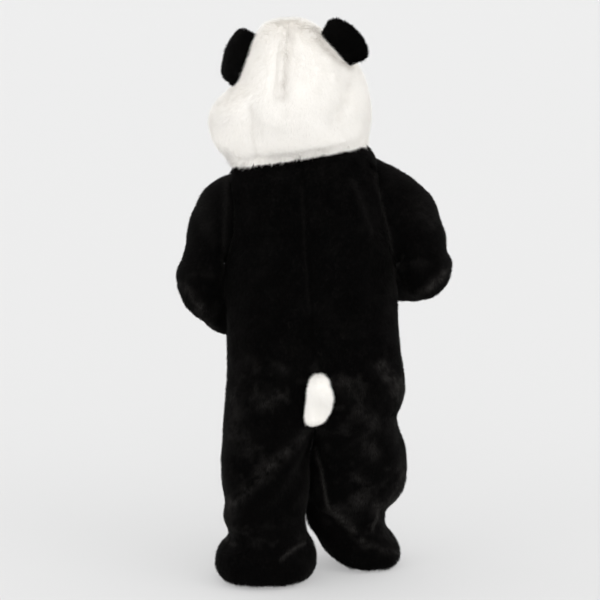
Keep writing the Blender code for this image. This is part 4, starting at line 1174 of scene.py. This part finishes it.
tape_finish, tree, shader = new_material("woven_tape")
weave = woven(tree, shader, (("DIAGONAL", 340, 0.6), ("Z", 420, 0.0)), 0.6, 0.0003)
colours = new_ramp(tree, (0.006, 0.006, 0.006), (0.026, 0.025, 0.025))
link(tree, (weave, "Value", colours, "Fac"), (colours, "Color", shader, "Base Color"))
put(shader, Roughness=0.75)


def thread(name, colour, roughness):
    """Smooth black thread or coil, with a slight unevenness in its gloss."""
    made, tree, shader = new_material(name)
    place = new_node(tree, "TexCoord")
    noise = new_node(tree, "TexNoise", Scale=900)
    gloss = new_node(tree, "MapRange", To_Min=roughness - 0.08, To_Max=roughness + 0.12)
    link(tree, (place, "Object", noise, "Vector"), (noise, "Fac", gloss, "Value"))
    link(tree, (gloss, "Result", shader, "Roughness"))
    put(shader, Base_Color=(*colour, 1))
    return made


coil_finish = thread("coil_nylon", (0.012, 0.012, 0.013), 0.32)
stitch_finish = thread("black_thread", (0.02, 0.019, 0.019), 0.5)

across = np.concatenate([[-1.0, -0.93, -0.86], np.linspace(-0.8, 0.8, 9), [0.86, 0.93, 1.0]]) * TAPE_HALF
edge_cord = 0.35 * MM * bell(np.abs(across) / TAPE_HALF - 0.93, 0.05)
grid = [np.stack([zip_point(row[0], a, e) for a, e in zip(across, edge_cord)]) for row in zip_rows]
face = np.concatenate(grid)
columns, count = len(across), len(face)
index = np.arange(count).reshape(-1, columns)
quads = np.stack([index[:-1, :-1], index[:-1, 1:], index[1:, 1:], index[1:, :-1]], axis=-1).reshape(-1, 4)
tape = sheet_object("zip_tape", face, quads, tape_finish, tape_finish)

LOOP = np.array(  # millimetres across the tape, and out of it
    ((-3.0, -2.6, -1.9, -0.9, 0.2, 0.75, 0.5, -0.4), (0.35, 1.15, 1.75, 1.95, 1.8, 1.3, 0.8, 0.6))
).T
LOOP_PITCH = 1.25 * MM
loops = []
lift = np.linspace(-0.12, 0.12, len(LOOP)) * MM
first, last = zip_rows[1, 0], zip_rows[-2, 0]
for k, height in enumerate(np.arange(first, last, LOOP_PITCH / 2)):
    side = 1 if k % 2 else -1
    loops.append([zip_point(height + up, side * x * MM, out * MM) for (x, out), up in zip(LOOP, lift)])
coil = tube_mesh("zip_coil", loops, 0.36 * MM, 6, coil_finish)

STITCH_ARC = ((0.0, -0.05), (0.15, 0.22), (0.5, 0.3), (0.85, 0.22), (1.0, -0.05))
STITCH = 2.4 * MM
STITCH_PITCH = 3.1 * MM
stitches = []
for aside in (-3.6 * MM, 3.6 * MM, -8.6 * MM, 8.6 * MM):
    for height in np.arange(first, last - STITCH, STITCH_PITCH):
        stitches.append([zip_point(height + STITCH * part, aside, out * MM) for part, out in STITCH_ARC])
stitching = tube_mesh("zip_stitching", stitches, 0.17 * MM, 5, stitch_finish)

for piece in (tape, coil, stitching):
    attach(piece, "suit")
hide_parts("zip_tape_and_coil")
print("coil loops", len(loops), "stitches", len(stitches))

# %% [markdown]
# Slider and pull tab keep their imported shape, with edges broken by a small bevel. Nickel plate is bright but
# not a mirror: fine scratches and finger marks change its gloss and its tone from place to place.

# %% Nickel
nickel, tree, shader = new_material("nickel_plate")
place = new_node(tree, "TexCoord")
marks = new_node(tree, "TexNoise", Scale=260, Detail=4)
scratches = new_node(tree, "TexNoise", Scale=1400)
stretch = new_node(tree, "Mapping", Scale=(1.0, 1.0, 0.08))
blend = new_node(tree, "Math")
blend.operation = "MULTIPLY_ADD"
blend.inputs[1].default_value = 0.35
gloss = new_node(tree, "MapRange", From_Min=0.4, From_Max=1.0, To_Min=0.16, To_Max=0.42)
tint = new_ramp(tree, (0.54, 0.525, 0.505), (0.70, 0.69, 0.67))
link(
    tree,
    (place, "Object", marks, "Vector"),
    (place, "Object", stretch, "Vector"),
    (stretch, "Vector", scratches, "Vector"),
    (scratches, "Fac", blend, 0),
    (marks, "Fac", blend, 2),
    (blend, "Value", gloss, "Value"),
    (gloss, "Result", shader, "Roughness"),
    (marks, "Fac", tint, "Fac"),
    (tint, "Color", shader, "Base Color"),
)
put(shader, Metallic=1.0)
for name in ("zip_slider", "zip_pull"):
    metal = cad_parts[name]
    metal.data.materials.clear()
    metal.data.materials.append(nickel)
    edges = metal.modifiers.new("broken_edges", "BEVEL")
    edges.width = 0.25 * MM
    edges.segments = 2
    edges.limit_method = "ANGLE"

# %% [markdown]
# Last, the finished costume's box is set against the imported model's, and how much each side has grown is
# printed.
# The pile may stand a little proud of the solids.

# %% Size and finish
visual_box = [list(corner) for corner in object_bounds()]
grown = [round((visual_box[1][k] - visual_box[0][k]) / (cad_box[1][k] - cad_box[0][k]), 4) for k in range(3)]
print("visual over packed size:", grown)
